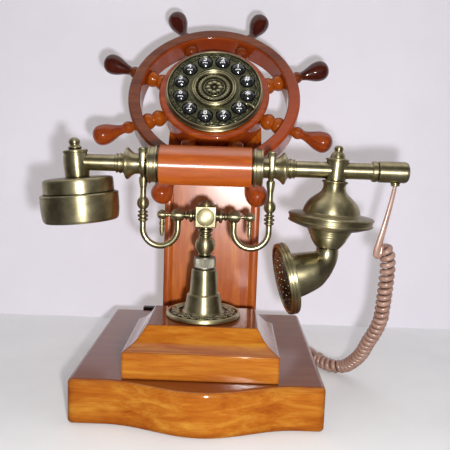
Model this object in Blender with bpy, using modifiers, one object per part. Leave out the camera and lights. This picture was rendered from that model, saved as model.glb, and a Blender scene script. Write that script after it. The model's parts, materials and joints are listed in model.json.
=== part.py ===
"""Ship's-wheel cradle telephone: wooden base and column, wheel with a keypad dial, brass cradle and handset.

Lengths below are millimetres; every mesh is scaled to metres when it is made. The layout frame has x to the
right, y to the back and z up. Its zero is on the table, at the middle of the base's straight front edge, and
FRAME_SHIFT moves it to the bottom centre of the whole telephone.
"""
import math

import bmesh
import bpy
from mathutils import Matrix, Vector

for left_over in list(bpy.data.objects):
    bpy.data.objects.remove(left_over, do_unlink=True)

# ---- driving dimensions -------------------------------------------------------------------------------------
MM = 0.001
GAP = 0.3                       # clearance between neighbouring pieces

BASE_W, BASE_X, BASE_FRONT, BASE_BACK, BASE_TOP = 184.8, -0.9, -2.0, 186.0, 33.7
BOW, BOW_X, BOW_HALF = 16.8, 3.0, 70.0      # the front edge bows out by BOW around x = BOW_X
BASE_EDGE = 4.2                 # rounding of the slab's edges
FOOT_H, FOOT_R = 1.7, 8.0
SLAB_BOTTOM = 0.4
SLAB_WALL, SLAB_ROOF = 13.0, 24.0
PLATE_T = 3.0

PLINTH_X = 1.3
PLINTH_W, PLINTH_D, PLINTH_FRONT, PLINTH_BLOCK_TOP, PLINTH_TOP = 113.0, 85.5, 1.0, 54.1, 69.9
COVE = ((15.7, 15.8), (10.3, 14.0), (5.9, 10.5), (3.7, 7.1), (1.1, 3.3), (0.0, 0.0))  # outward, down

COLUMN_W, COLUMN_D, COLUMN_X, COLUMN_FRONT = 83.0, 52.0, 3.2, 112.5
GROOVE_INSET, GROOVE_R = 5.5, 0.9

WHEEL_TILT = math.radians(34.0)             # the wheel leans back by this much
WHEEL_CENTRE = Vector((1.2, 135.0, 246.1))  # middle of the ring's front face
RING_R, RING_INNER_R, RING_T = 76.4, 65.8, 22.0
SPOKES, SPOKE_FIRST = 8, math.radians(22.5)
SPOKE_BORE_R = 4.2
HOUSING_R, HOUSING_RIM_R, HOUSING_FRONT, HOUSING_BACK = 46.2, 48.8, 2.6, -24.5
DIAL_R, DIAL_FRONT = 42.1, 8.0
KEY_CIRCLE_R, KEY_R, KEY_TOP, KEY_FOOT = 30.1, 6.0, 11.8, 2.2
MEDALLION_R = 19.4
KEY_NAMES = ("2", "1", "hash", "star", "0", "9", "8", "7", "6", "5", "4", "3")  # clockwise from the top
BOARD_R, BOARD_FRONT, BOARD_T = 39.0, 0.2, 1.5

POST_X, POST_Y = 0.5, 47.3       # the cradle and the handset share this depth
STEM_R, STEM_FOOT = 3.0, 40.0
BLOCK_Z, BLOCK_HALF = 147.7, 8.1
HOOK_ROD_R, HOOK_NUT_X, HOOK_X, HOOK_BOTTOM = 2.35, 21.4, 48.3, 123.5
END_BALL_X, END_BALL_R = 33.6, 3.8
FORK_T, FORK_TOP = 2.2, 198.6
SPRING_R, SPRING_WIRE_R, SPRING_FOOT, SPRING_TOP, SPRING_TURNS = 5.2, 0.5, 71.2, 91.0, 5

HANDSET_X, HANDSET_Z = -0.9, 185.7
GRIP_HALF, GRIP_R, WIRE_BORE_R = 35.65, 15.0, 4.0
NECK_R = 7.65
TUBE_R, TUBE_START = 6.25, 68.0
EAR_X, EAR_TILT = -99.0, math.radians(5.5)
MOUTH_X, MOUTH_TILT = 97.9, math.radians(-3.5)
EAR_CUP_R = 30.2
END_CAP_END, END_CAP_R = 153.0, 8.0
CORD_X, CORD_HOLE_R = 142.8, 2.9
HORN_MOUTH = Vector((62.3, 46.8, 101.0))    # middle of the mouthpiece ring
HORN_AIM = Vector((-0.966, -0.153, -0.208)).normalized()
MOUTH_RING_R = 27.9
HORN_CORNER = Vector((85.2, 47.3, 124.0))   # inner corner of the horn's elbow
HORN_THROAT_R, HORN_END_R, HORN_SIDES = 8.5, 18.0, 20
CORD_TAIL_R, CORD_COIL_R = 1.9, 6.2
CORD_ENTRY = Vector((91.5, 150.0, 12.0))    # hole in the base's right side

JACK = (14.0, 6.5, 12.0)
JACK_X, JACK_Z = -59.0, 29.8

FRAME_SHIFT = Vector((-12.8, -94.12, 0.0))  # to the bottom centre of the box round the whole telephone

# ---- materials ----------------------------------------------------------------------------------------------
PALETTE = {
    "wood_honey": ((0.52, 0.17, 0.03), 0.25, 0.0),
    "wood_red": ((0.30, 0.06, 0.02), 0.22, 0.0),
    "brass_antique": ((0.42, 0.36, 0.20), 0.32, 1.0),
    "key_black": ((0.012, 0.012, 0.014), 0.12, 0.0),
    "cord_mauve": ((0.30, 0.19, 0.16), 0.35, 0.0),
    "rubber_black": ((0.02, 0.02, 0.02), 0.8, 0.0),
    "board_green": ((0.02, 0.14, 0.05), 0.5, 0.0),
    "plastic_black": ((0.02, 0.02, 0.022), 0.4, 0.0),
    "steel_grey": ((0.5, 0.5, 0.52), 0.35, 1.0),
}


def make_material(name):
    colour, roughness, metallic = PALETTE[name]
    material = bpy.data.materials.new(name)
    material.use_nodes = True
    shader = material.node_tree.nodes["Principled BSDF"]
    shader.inputs["Base Color"].default_value = (*colour, 1.0)
    shader.inputs["Roughness"].default_value = roughness
    shader.inputs["Metallic"].default_value = metallic
    return material


def make_collection(name):
    collection = bpy.data.collections.new(name)
    bpy.context.scene.collection.children.link(collection)
    return collection


PARTS = make_collection("cradle_phone")
CUTTERS = make_collection("cutters")
CUTTERS.hide_render = True


# ---- placing ------------------------------------------------------------------------------------------------
def at(x, y, z):
    """A point of the layout frame, in metres of the telephone's own frame."""
    return (Vector((x, y, z)) + FRAME_SHIFT) * MM


def frame_at(point, z_axis=(0, 0, 1), x_axis=(1, 0, 0)):
    """A placing whose z runs along z_axis and whose x lies as near x_axis as it can."""
    z = Vector(z_axis).normalized()
    y = z.cross(Vector(x_axis)).normalized()
    turn = Matrix((y.cross(z), y, z)).transposed().to_4x4()
    return Matrix.Translation(at(*point)) @ turn


WHEEL_AXIS = Vector((0, -math.cos(WHEEL_TILT), math.sin(WHEEL_TILT)))
WHEEL = frame_at(WHEEL_CENTRE, WHEEL_AXIS)
POST = frame_at((POST_X, POST_Y, 0))
HANDSET = frame_at((HANDSET_X, POST_Y, HANDSET_Z), (1, 0, 0), (0, 0, -1))
HANDSET_LEFT = frame_at((HANDSET_X, POST_Y, HANDSET_Z), (-1, 0, 0), (0, 0, 1))
EAR = Matrix.Translation(at(EAR_X, POST_Y, HANDSET_Z)) @ Matrix.Rotation(-EAR_TILT, 4, "Y")
MOUTH = Matrix.Translation(at(MOUTH_X, POST_Y, HANDSET_Z)) @ Matrix.Rotation(-MOUTH_TILT, 4, "Y")


def spoke_frame(number):
    """z runs out along the spoke, from the wheel's axis at the ring's mid-plane."""
    angle = SPOKE_FIRST + number * 2 * math.pi / SPOKES
    out = Matrix.Rotation(-angle, 4, "Z") @ Matrix.Rotation(-math.pi / 2, 4, "X")
    return WHEEL @ Matrix.Translation((0, 0, -RING_T / 2 * MM)) @ out


def key_frame(number):
    angle = math.radians(15 + 30 * number)
    return WHEEL @ Matrix.Translation(
        (KEY_CIRCLE_R * math.sin(angle) * MM, KEY_CIRCLE_R * math.cos(angle) * MM, 0)
    )


# ---- building -----------------------------------------------------------------------------------------------
def add(name, mesh, placing, material=None):
    piece = bpy.data.objects.new(name, mesh)
    piece.matrix_world = placing
    if material is None:
        CUTTERS.objects.link(piece)
        piece.display_type = "WIRE"
        piece.hide_render = True
    else:
        PARTS.objects.link(piece)
        mesh.materials.append(make_material(material) if material not in bpy.data.materials
                              else bpy.data.materials[material])
    return piece


def turned(name, profile, steps, placing, material=None):
    """A turned piece. profile is (radius, height) down the outer side; one that starts off the axis is a closed
    loop, so it makes a ring or a tube."""
    points = [(r * MM, 0, h * MM) for r, h in profile]
    edges = [(i, i + 1) for i in range(len(points) - 1)]
    if profile[0][0] > 0:
        edges.append((len(points) - 1, 0))
    mesh = bpy.data.meshes.new(name)
    mesh.from_pydata(points, edges, [])
    piece = add(name, mesh, placing, material)
    screw = piece.modifiers.new("turn", "SCREW")
    screw.steps = screw.render_steps = steps
    screw.use_merge_vertices = True
    screw.merge_threshold = 0.00001
    screw.use_smooth_shade = True
    return piece


def faces(name, points, polygons, placing, material=None):
    mesh = bpy.data.meshes.new(name)
    mesh.from_pydata([Vector(p) * MM for p in points], [], polygons)
    shell = bmesh.new()
    shell.from_mesh(mesh)
    bmesh.ops.recalc_face_normals(shell, faces=shell.faces)
    shell.to_mesh(mesh)
    shell.free()
    return add(name, mesh, placing, material)


def loft(name, rings, placing, material=None):
    """A solid through rings of points, each ring the same length, closed with a face at both ends."""
    count = len(rings[0])
    points = [p for ring in rings for p in ring]
    polygons = [tuple(range(count)), tuple(range(len(points) - count, len(points)))]
    for level in range(len(rings) - 1):
        for i in range(count):
            j = (i + 1) % count
            low, high = level * count, (level + 1) * count
            polygons.append((low + i, low + j, high + j, high + i))
    return faces(name, points, polygons, placing, material)


def box(name, size, centre, placing, material=None):
    x, y, z = (s / 2 for s in size)
    corners = ((-x, -y), (x, -y), (x, y), (-x, y))
    rings = [[(centre[0] + a, centre[1] + b, centre[2] + h) for a, b in corners] for h in (-z, z)]
    return loft(name, rings, placing, material)


def rod(name, radius, low, high, sides, placing, material=None):
    return turned(name, ((0, high), (radius, high), (radius, low), (0, low)), sides, placing, material)


def tube(name, points, radii, material=None, sides=2, placing=None):
    """A solid swept along points, with a radius at each; sides is the curve's bevel resolution."""
    curve = bpy.data.curves.new(name, "CURVE")
    curve.dimensions = "3D"
    curve.bevel_depth = MM
    curve.bevel_resolution = sides
    curve.use_fill_caps = True
    spline = curve.splines.new("POLY")
    spline.points.add(len(points) - 1)
    for point, where, radius in zip(spline.points, points, radii):
        point.co = (*(Vector(where) * MM), 1.0)
        point.radius = radius
    sweep = bpy.data.objects.new(name + "_sweep", curve)
    bpy.context.scene.collection.objects.link(sweep)
    bpy.context.view_layer.update()
    mesh = bpy.data.meshes.new_from_object(sweep.evaluated_get(bpy.context.evaluated_depsgraph_get()))
    bpy.data.objects.remove(sweep, do_unlink=True)
    welded = bmesh.new()
    welded.from_mesh(mesh)
    bmesh.ops.remove_doubles(welded, verts=welded.verts, dist=0.00001)
    bmesh.ops.recalc_face_normals(welded, faces=welded.faces)
    for face in welded.faces:
        face.smooth = True
    welded.to_mesh(mesh)
    welded.free()
    mesh.name = name
    return add(name, mesh, placing or Matrix.Translation(at(0, 0, 0)), material)


def combine(piece, other, operation):
    step = piece.modifiers.new(other.name, "BOOLEAN")
    step.operation = operation
    step.solver = "EXACT"
    step.object = other
    if other.name not in CUTTERS.objects:
        raise ValueError(other.name + " has to be a cutter")


def cut(piece, *cutters):
    for cutter in cutters:
        combine(piece, cutter, "DIFFERENCE")


def join(piece, *others):
    for other in others:
        combine(piece, other, "UNION")


def bevel(piece, width, segments, angle=40):
    step = piece.modifiers.new("edges", "BEVEL")
    step.width = width * MM
    step.segments = segments
    step.limit_method = "ANGLE"
    step.angle_limit = math.radians(angle)
    step.use_clamp_overlap = True


def curve_points(controls, count):
    """Points of a smooth curve through controls (Catmull-Rom), count to each span."""
    controls = [Vector(c) for c in controls]
    padded = [2 * controls[0] - controls[1], *controls, 2 * controls[-1] - controls[-2]]
    points = []
    for a, b, c, d in zip(padded, padded[1:], padded[2:], padded[3:]):
        for k in range(count):
            t = k / count
            points.append(0.5 * (2 * b + (c - a) * t + (2 * a - 5 * b + 4 * c - d) * t * t
                                 + (3 * b - 3 * c + d - a) * t ** 3))
    return points + [controls[-1]]


def spread(values, count):
    """The values spaced over count points."""
    last = len(values) - 1
    out = []
    for i in range(count):
        s = last * i / (count - 1)
        k = min(int(s), last - 1)
        out.append(values[k] + (values[k + 1] - values[k]) * (s - k))
    return out


# ---- base ---------------------------------------------------------------------------------------------------
def base_outline(inset, bow_points=18):
    """The slab's outline seen from above, inset from its edge."""
    half = BASE_W / 2 - inset
    straight = BASE_FRONT + inset
    front = []
    for i in range(bow_points + 1):
        x = BOW_X - BOW_HALF + 2 * BOW_HALF * i / bow_points
        bow = BOW * 0.5 * (1 + math.cos(math.pi * (x - BOW_X) / BOW_HALF))
        front.append((x, straight - bow))
    back = BASE_BACK - inset
    return [(BASE_X - half, straight), *front, (BASE_X + half, straight),
            (BASE_X + half, back), (BASE_X - half, back)]


def slab_ring(inset, z):
    return [(x, y, z) for x, y in base_outline(inset)]


def build_base():
    ground = frame_at((0, 0, 0))
    slab = loft("base_slab", [slab_ring(0, SLAB_BOTTOM), slab_ring(0, BASE_TOP)], ground, "wood_honey")
    weights = slab.data.attributes.new("bevel_weight_edge", "FLOAT", "EDGE")
    for edge in slab.data.edges:
        low, high = sorted(slab.data.vertices[v].co.z for v in edge.vertices)
        upright = high > low
        corner = upright and abs(abs(slab.data.vertices[edge.vertices[0]].co.x / MM - BASE_X) - BASE_W / 2) < 1
        if corner or not upright:
            weights.data[edge.index].value = 0.4 if high < BASE_TOP * MM / 2 else 1.0
    bevel(slab, BASE_EDGE, 3)
    slab.modifiers["edges"].limit_method = "WEIGHT"
    cut(
        slab,
        loft("slab_hollow", [slab_ring(SLAB_WALL, SLAB_BOTTOM - 1), slab_ring(SLAB_WALL, SLAB_ROOF)], ground),
        rod("cord_bore", CORD_HOLE_R, -SLAB_WALL - 2, 4, 10, frame_at(CORD_ENTRY, (1, 0, 0), (0, 0, -1))),
    )
    plate_low = FOOT_H + GAP
    plate_edge = SLAB_WALL + GAP
    loft("base_bottom_plate", [slab_ring(plate_edge, plate_low), slab_ring(plate_edge, plate_low + PLATE_T)],
         ground, "plastic_black")
    foot_x, foot_front, foot_back = BASE_W / 2 - 26, 26, BASE_BACK - 26
    for number, (x, y) in enumerate(((-foot_x, foot_front), (foot_x, foot_front),
                                     (-foot_x, foot_back), (foot_x, foot_back)), 1):
        rod(f"rubber_foot_{number}", FOOT_R, 0, FOOT_H, 16, frame_at((BASE_X + x, y, 0)), "rubber_black")
    box("circuit_board", (70, 46, 1.6), (0, 110, 12), ground, "board_green")
    jack = box("line_jack", JACK, (JACK_X, BASE_BACK + GAP + JACK[1] / 2, JACK_Z), ground, "plastic_black")
    cut(jack, box("jack_socket", (9, 4, 7), (JACK_X, BASE_BACK + GAP + JACK[1], JACK_Z - 1), ground))


def build_plinth():
    half_w, half_d = PLINTH_W / 2, PLINTH_D / 2
    centre_y = PLINTH_FRONT + half_d
    inset_top = COVE[0][0]
    levels = [(0, BASE_TOP + GAP)] + [(inset_top - out, PLINTH_TOP - down) for out, down in COVE]
    rings = [
        [(PLINTH_X + x * (half_w - inset), centre_y + y * (half_d - inset), z)
         for x, y in ((-1, -1), (1, -1), (1, 1), (-1, 1))]
        for inset, z in levels
    ]
    plinth = loft("plinth", rings, frame_at((0, 0, 0)), "wood_honey")
    bevel(plinth, 0.7, 2)
    cut(plinth, rod("stem_bore", STEM_R + 1, 36, PLINTH_TOP + 2, 12, POST))


def build_column():
    half = COLUMN_W / 2
    top = WHEEL_CENTRE + WHEEL_AXIS * (HOUSING_BACK - GAP)

    def slope_z(y):
        return top.z + (y - top.y) * math.cos(WHEEL_TILT) / math.sin(WHEEL_TILT)

    back = COLUMN_FRONT + COLUMN_D
    corners = ((-half, COLUMN_FRONT), (half, COLUMN_FRONT), (half, back), (-half, back))
    rings = [
        [(COLUMN_X + x, y, BASE_TOP + GAP) for x, y in corners],
        [(COLUMN_X + x, y, slope_z(y)) for x, y in corners],
    ]
    column = loft("column", rings, frame_at((0, 0, 0)), "wood_honey")
    bevel(column, 1.2, 2)
    for side in (-1, 1):
        place = frame_at((COLUMN_X + side * (half - GROOVE_INSET), COLUMN_FRONT, 0))
        cut(column, rod(f"groove_{side + 1}", GROOVE_R, 30, 180, 8, place))


# ---- wheel and dial -----------------------------------------------------------------------------------------
RING_EDGE = 1.3
SPOKE_PROFILE = (          # radius, distance out from the wheel's axis
    (0.0, 112.6), (5.2, 111.2), (8.7, 107.4), (9.1, 103.2), (7.7, 97.4), (4.3, 90.0), (3.3, 85.4),
    (5.3, 82.0), (6.1, 79.4), (5.4, 76.8), (3.9, 76.8), (3.9, 65.4), (6.4, 65.4), (7.3, 61.9),
    (4.9, 57.6), (5.0, 54.9), (7.4, 50.8), (6.2, 47.2), (0.0, 46.6),
)


def build_wheel():
    e = RING_EDGE
    ring = turned(
        "wheel_ring",
        ((RING_R - e, 0), (RING_R, -e), (RING_R, e - RING_T), (RING_R - e, -RING_T),
         (RING_INNER_R + e, -RING_T), (RING_INNER_R, e - RING_T), (RING_INNER_R, -e), (RING_INNER_R + e, 0)),
        40, WHEEL, "wood_red")
    for number in range(SPOKES):
        turned(f"wheel_spoke_{number + 1}", SPOKE_PROFILE, 10, spoke_frame(number), "wood_red")
        cut(ring, rod(f"spoke_bore_{number + 1}", SPOKE_BORE_R, 60, 84, 8, spoke_frame(number)))
    housing_bore = DIAL_R + 0.5
    floor = BOARD_FRONT - BOARD_T - 3.0
    turned(
        "dial_housing",
        ((HOUSING_RIM_R - 2.4, HOUSING_FRONT), (HOUSING_RIM_R - 0.6, HOUSING_FRONT - 0.7),
         (HOUSING_RIM_R, HOUSING_FRONT - 2.2), (HOUSING_RIM_R - 0.5, HOUSING_FRONT - 4.2),
         (HOUSING_R + 0.4, HOUSING_FRONT - 6.0), (HOUSING_R, HOUSING_FRONT - 8.5),
         (HOUSING_R, HOUSING_BACK), (8.0, HOUSING_BACK),
         (8.0, floor), (housing_bore, floor), (housing_bore, HOUSING_FRONT)),
        36, WHEEL, "wood_red")


def build_dial():
    skirt_foot = BOARD_FRONT - 3.0
    plate = turned(
        "dial_plate",
        ((0, DIAL_FRONT), (DIAL_R - 2.6, DIAL_FRONT), (DIAL_R - 2.0, DIAL_FRONT + 0.6),
         (DIAL_R - 0.8, DIAL_FRONT + 0.6), (DIAL_R, DIAL_FRONT - 0.3), (DIAL_R, skirt_foot),
         (DIAL_R - 1.4, skirt_foot), (DIAL_R - 1.4, DIAL_FRONT - 3), (0, DIAL_FRONT - 3)),
        40, WHEEL, "brass_antique")
    for number, key in enumerate(KEY_NAMES):
        turned(
            f"key_{key}",
            ((0, KEY_TOP), (3.1, KEY_TOP - 0.5), (5.3, KEY_TOP - 2.1), (KEY_R, DIAL_FRONT),
             (KEY_R, DIAL_FRONT - 3.4), (KEY_R + 0.9, DIAL_FRONT - 3.4), (KEY_R + 0.9, KEY_FOOT), (0, KEY_FOOT)),
            10, key_frame(number), "key_black")
        cut(plate, rod(f"bore_{key}", KEY_R + GAP, DIAL_FRONT - 5, DIAL_FRONT + 3, 10, key_frame(number)))
    turned(
        "dial_medallion",
        ((0, 10.8), (9.0, 10.5), (15.4, 9.8), (16.4, 9.1), (17.1, 9.1), (17.6, 10.5), (18.5, 11.0),
         (MEDALLION_R, 10.1), (MEDALLION_R, DIAL_FRONT + GAP), (0, DIAL_FRONT + GAP)),
        28, WHEEL, "brass_antique")
    stop_low, stop_high = DIAL_FRONT + 0.9, DIAL_FRONT + 2.6
    angle = math.radians(120)
    outline = []
    for side in (1, -1):
        for r, bend in ((40.6, 0.0), (37.5, -0.6), (34.5, -0.4), (32.0, 0.9))[::side]:
            across = bend + side * (1.5 if r > 40 else 1.1)
            outline.append((r * math.sin(angle) + across * math.cos(angle),
                            r * math.cos(angle) - across * math.sin(angle)))
    loft("finger_stop", [[(x, y, h) for x, y in outline] for h in (stop_low, stop_high)], WHEEL,
         "brass_antique")
    rod("keypad_board", BOARD_R, BOARD_FRONT - BOARD_T, BOARD_FRONT, 20, WHEEL, "board_green")


# ---- cradle post --------------------------------------------------------------------------------------------
def build_post():
    low = PLINTH_TOP + GAP
    turned(
        "post_foot",
        ((3.4, 105.1), (9.2, 105.1), (9.95, 104.3), (11.15, 86.5), (11.5, 85.9), (12.3, 85.9), (12.8, 85.2),
         (13.2, 83.5), (15.0, 75.6), (15.8, 74.4), (20.5, 73.5), (25.8, 72.6), (26.6, 73.7), (27.8, 73.7),
         (28.9, 72.6), (28.9, low + 0.7), (28.2, low), (7.6, low), (7.6, 100.0), (3.4, 100.0)),
        26, POST, "brass_antique")
    turned(
        "knurled_nut",
        ((3.4, 115.9), (7.8, 115.9), (8.5, 115.2), (8.5, 106.1), (7.8, 105.4), (3.4, 105.4)),
        20, POST, "brass_antique")
    ball_z, ball_r = 125.6, 7.75
    ball = [(ball_r * math.cos(math.radians(a)), ball_z + ball_r * math.sin(math.radians(a)))
            for a in (60, 38, 14, -14, -38, -60)]
    turned(
        "cradle_stem",
        ((0, 139.3), (4.6, 139.3), (4.6, 138.0), (5.7, 137.4), (5.7, 136.2), (4.1, 135.4), (4.1, 134.4),
         (5.2, 133.6), *ball, (4.9, 117.4), (4.9, 116.3), (STEM_R, 116.3), (STEM_R, 94.0), (6.4, 93.2),
         (6.4, 91.6), (STEM_R, 91.6), (STEM_R, STEM_FOOT), (0, STEM_FOOT)),
        12, POST, "brass_antique")
    turns = []
    count = SPRING_TURNS * 8
    for i in range(count + 1):
        angle = 2 * math.pi * i / 8
        turns.append((SPRING_R * math.cos(angle), SPRING_R * math.sin(angle),
                      SPRING_FOOT + (SPRING_TOP - SPRING_FOOT) * i / count))
    tube("hook_spring", turns, [SPRING_WIRE_R] * len(turns), "steel_grey", sides=1, placing=POST)


def build_cross_block():
    block = box("cross_block", (2 * BLOCK_HALF,) * 3, (0, 0, BLOCK_Z), POST, "brass_antique")
    bevel(block, 0.8, 1)
    dome = ((0, 11.0), (3.6, 10.6), (6.0, 9.4), (6.9, 7.9), (6.9, 5.0), (0, 5.0))
    for side in (-1, 1):
        place = frame_at((POST_X, POST_Y, BLOCK_Z), (0, side, 0))
        join(block, turned(f"block_dome_{side + 1}", dome, 12, place))
    cap = ((0, 12.0), (3.2, 11.6), (5.6, 10.2), (6.5, 8.6), (6.5, 6.0), (0, 6.0))
    join(block, turned("block_cap", cap, 12, frame_at((POST_X, POST_Y, BLOCK_Z))))
    arm_end = HOOK_NUT_X - 5.3
    arm = ((0, arm_end), (2.6, arm_end), (2.6, 15.4), (3.6, 15.0), (3.6, 14.2), (2.6, 13.8), (2.6, 12.6),
           (4.9, 12.4), (5.0, 10.4), (3.4, 10.0), (3.4, 6.0), (0, 6.0))
    for side in (-1, 1):
        place = frame_at((POST_X, POST_Y, BLOCK_Z), (side, 0, 0), (0, 0, 1))
        join(block, turned(f"block_arm_{side + 1}", arm, 10, place))


def fork_rings():
    """The yoke the handset's neck lies in: a strip bent into a U, narrower towards its foot."""
    seat = NECK_R + GAP + FORK_T / 2
    rise = FORK_TOP - HANDSET_Z
    path = [(-seat - 1.3, rise), (-seat - 0.3, rise - 2.6), (-seat, rise - 6), (-seat, 0)]
    path += [(-seat * math.cos(a), -seat * math.sin(a)) for a in (math.radians(d) for d in (25, 50, 75))]
    path += [(-y, z) for y, z in reversed(path)]
    rings = []
    for i, (y, z) in enumerate(path):
        before, after = path[max(i - 1, 0)], path[min(i + 1, len(path) - 1)]
        along = Vector((after[0] - before[0], after[1] - before[1])).normalized()
        across = Vector((along.y, -along.x)) * FORK_T / 2
        half = 2.1 + 0.8 * max(0.0, min(1.0, (z + seat) / (rise + seat))) ** 1.4
        rings.append([
            (-half, y - across.x, z - across.y), (half, y - across.x, z - across.y),
            (half, y + across.x, z + across.y), (-half, y + across.x, z + across.y),
        ])
    return rings


def build_hooks():
    arm = (                     # outer arm of the hook, radius and height
        (0, 176.1), (2.8, 175.4), (1.9, 168.5), (1.9, 161.4), (3.4, 159.2), (4.3, 156.0), (3.4, 152.8),
        (2.3, 150.6), (3.9, 149.6), (3.9, 148.6), (2.7, 148.0), (4.2, 146.9), (4.2, 145.8), (2.7, 144.9),
        (3.9, 144.0), (3.9, 143.0), (HOOK_ROD_R, 142.2), (HOOK_ROD_R, 139.0), (0, 139.0),
    )
    nut = ((0, 5.2), (3.2, 4.2), (4.9, 1.5), (4.9, -1.5), (3.2, -4.2), (0, -5.2))
    span = (HOOK_X - HOOK_NUT_X) / 2
    for side, word in ((-1, "left"), (1, "right")):
        bend = [(side * HOOK_NUT_X, 0, BLOCK_Z - 2)]
        for i in range(13):
            a = math.pi * i / 12
            bend.append((side * (HOOK_NUT_X + span - span * math.cos(a)), 0,
                         HOOK_BOTTOM + span - span * math.sin(a)))
        bend.append((side * HOOK_X, 0, 141.0))
        hook = tube(f"hook_{word}", bend, [HOOK_ROD_R] * len(bend), "brass_antique", sides=2, placing=POST)
        join(
            hook,
            turned(f"hook_nut_{word}", nut, 10,
                   frame_at((POST_X + side * HOOK_NUT_X, POST_Y, BLOCK_Z), (1, 0, 0), (0, 0, 1))),
            turned(f"hook_arm_{word}", arm, 10, frame_at((POST_X + side * HOOK_X, POST_Y, 0))),
            loft(f"hook_fork_{word}", fork_rings(), frame_at((POST_X + side * HOOK_X, POST_Y, HANDSET_Z))),
        )
        neck_start = HOOK_NUT_X + 5.0 + GAP
        bar = ((0, END_BALL_X + END_BALL_R), (2.4, END_BALL_X + 3.0), (END_BALL_R, END_BALL_X),
               (2.4, END_BALL_X - 3.0), (1.3, END_BALL_X - 4.0), (1.3, neck_start), (0, neck_start))
        end = turned(f"end_ball_{word}", bar, 10,
                     frame_at((POST_X, POST_Y, BLOCK_Z), (side, 0, 0), (0, 0, 1)), "brass_antique")
        drop = ((0, -2.0), (1.5, -2.0), (1.5, -5.5), (2.1, -6.2), (2.1, -7.4), (1.6, -8.2), (1.9, -11.0),
                (1.5, -15.2), (0.9, -16.6), (0, -17.0))
        join(end, turned(f"pendant_{word}", drop, 8,
                         frame_at((POST_X + side * END_BALL_X, POST_Y, BLOCK_Z))))


# ---- handset ------------------------------------------------------------------------------------------------
def build_grip_and_necks():
    edge = 0.6
    turned(
        "grip",
        ((GRIP_R - edge, GRIP_HALF), (GRIP_R, GRIP_HALF - edge), (GRIP_R, edge - GRIP_HALF),
         (GRIP_R - edge, -GRIP_HALF), (WIRE_BORE_R, -GRIP_HALF), (WIRE_BORE_R, GRIP_HALF)),
        28, HANDSET, "wood_red")
    start = GRIP_HALF + GAP
    neck = (                    # radius and distance out along the handset
        (7.3, 67.5), (7.3, 66.4), (6.7, 65.8), (7.4, 65.0), (7.4, 63.6), (6.9, 62.6), (9.2, 60.9),
        (12.0, 59.5), (11.8, 58.3), (9.0, 55.6), (NECK_R, 52.2), (NECK_R, 43.3), (14.5, 42.9), (14.5, 41.6),
        (14.0, 41.0), (14.0, 38.4), (14.5, 37.8), (14.5, start), (WIRE_BORE_R, start), (WIRE_BORE_R, 67.5),
    )
    turned("neck_left", neck, 20, HANDSET_LEFT, "brass_antique")
    turned("neck_right", neck, 20, HANDSET, "brass_antique")
    ear_end = HANDSET_X - EAR_X + 2
    turned(
        "tube_left",
        ((TUBE_R, ear_end), (TUBE_R, TUBE_START - 0.2), (WIRE_BORE_R, TUBE_START - 0.2), (WIRE_BORE_R, ear_end)),
        16, HANDSET_LEFT, "brass_antique")
    turned(
        "tube_right",
        ((7.0, 129.6), (7.7, 128.8), (7.7, 125.9), (7.1, 125.1), (TUBE_R, 124.8), (TUBE_R, TUBE_START - 0.2),
         (WIRE_BORE_R, TUBE_START - 0.2), (WIRE_BORE_R, 129.6)),
        16, HANDSET, "brass_antique")
    cap = turned(
        "end_cap",
        ((0, END_CAP_END), (5.6, END_CAP_END), (7.4, END_CAP_END - 0.9), (END_CAP_R, END_CAP_END - 2.8),
         (END_CAP_R, 130.6), (7.7, 129.9), (6.6, 129.9), (6.6, 149.0), (0, 149.0)),
        16, HANDSET, "brass_antique")
    cut(cap, rod("cap_cord_hole", CORD_HOLE_R, -14, -2, 10, frame_at((CORD_X, POST_Y, HANDSET_Z))))


def build_earpiece():
    stem = turned(
        "ear_stem",
        ((0, 17.2), (2.9, 16.0), (4.3, 13.0), (3.2, 10.2), (5.0, 9.8), (5.0, 8.7), (4.0, 8.2), (8.7, 8.0),
         (9.4, 7.3), (9.4, 6.2), (8.5, 5.6), (8.9, 1.0), (8.9, -5.0), (8.2, -10.4), (7.8, -13.2), (0, -13.2)),
        16, EAR, "brass_antique")
    cut(stem, rod("ear_stem_bore", TUBE_R + GAP, 80, HANDSET_X - EAR_X + 2 + GAP, 20, HANDSET_LEFT))
    turned(
        "ear_shell",
        ((0, -13.5), (24.6, -13.5), (26.3, -14.1), (26.8, -15.5), (26.8, -25.4), (25.0, -25.4), (25.0, -16.0),
         (0, -16.0)),
        28, EAR, "brass_antique")
    turned(
        "ear_cap",
        ((27.2, -25.7), (29.4, -25.9), (EAR_CUP_R, -26.8), (EAR_CUP_R, -30.0), (29.7, -37.0), (28.6, -43.2),
         (27.2, -45.0), (24.0, -44.4), (8.0, -42.4), (5.0, -42.4), (5.0, -40.2), (26.6, -40.2)),
        28, EAR, "brass_antique")


def circle(centre, normal, radius, sides):
    """A ring of points, with the first one towards the back of the telephone."""
    n = Vector(normal).normalized()
    across = (Vector((0, 1, 0)) - n * n.y).normalized()
    up = n.cross(across)
    turns = [2 * math.pi * i / sides for i in range(sides)]
    return [Vector(centre) + radius * (math.cos(a) * across + math.sin(a) * up) for a in turns]


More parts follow.
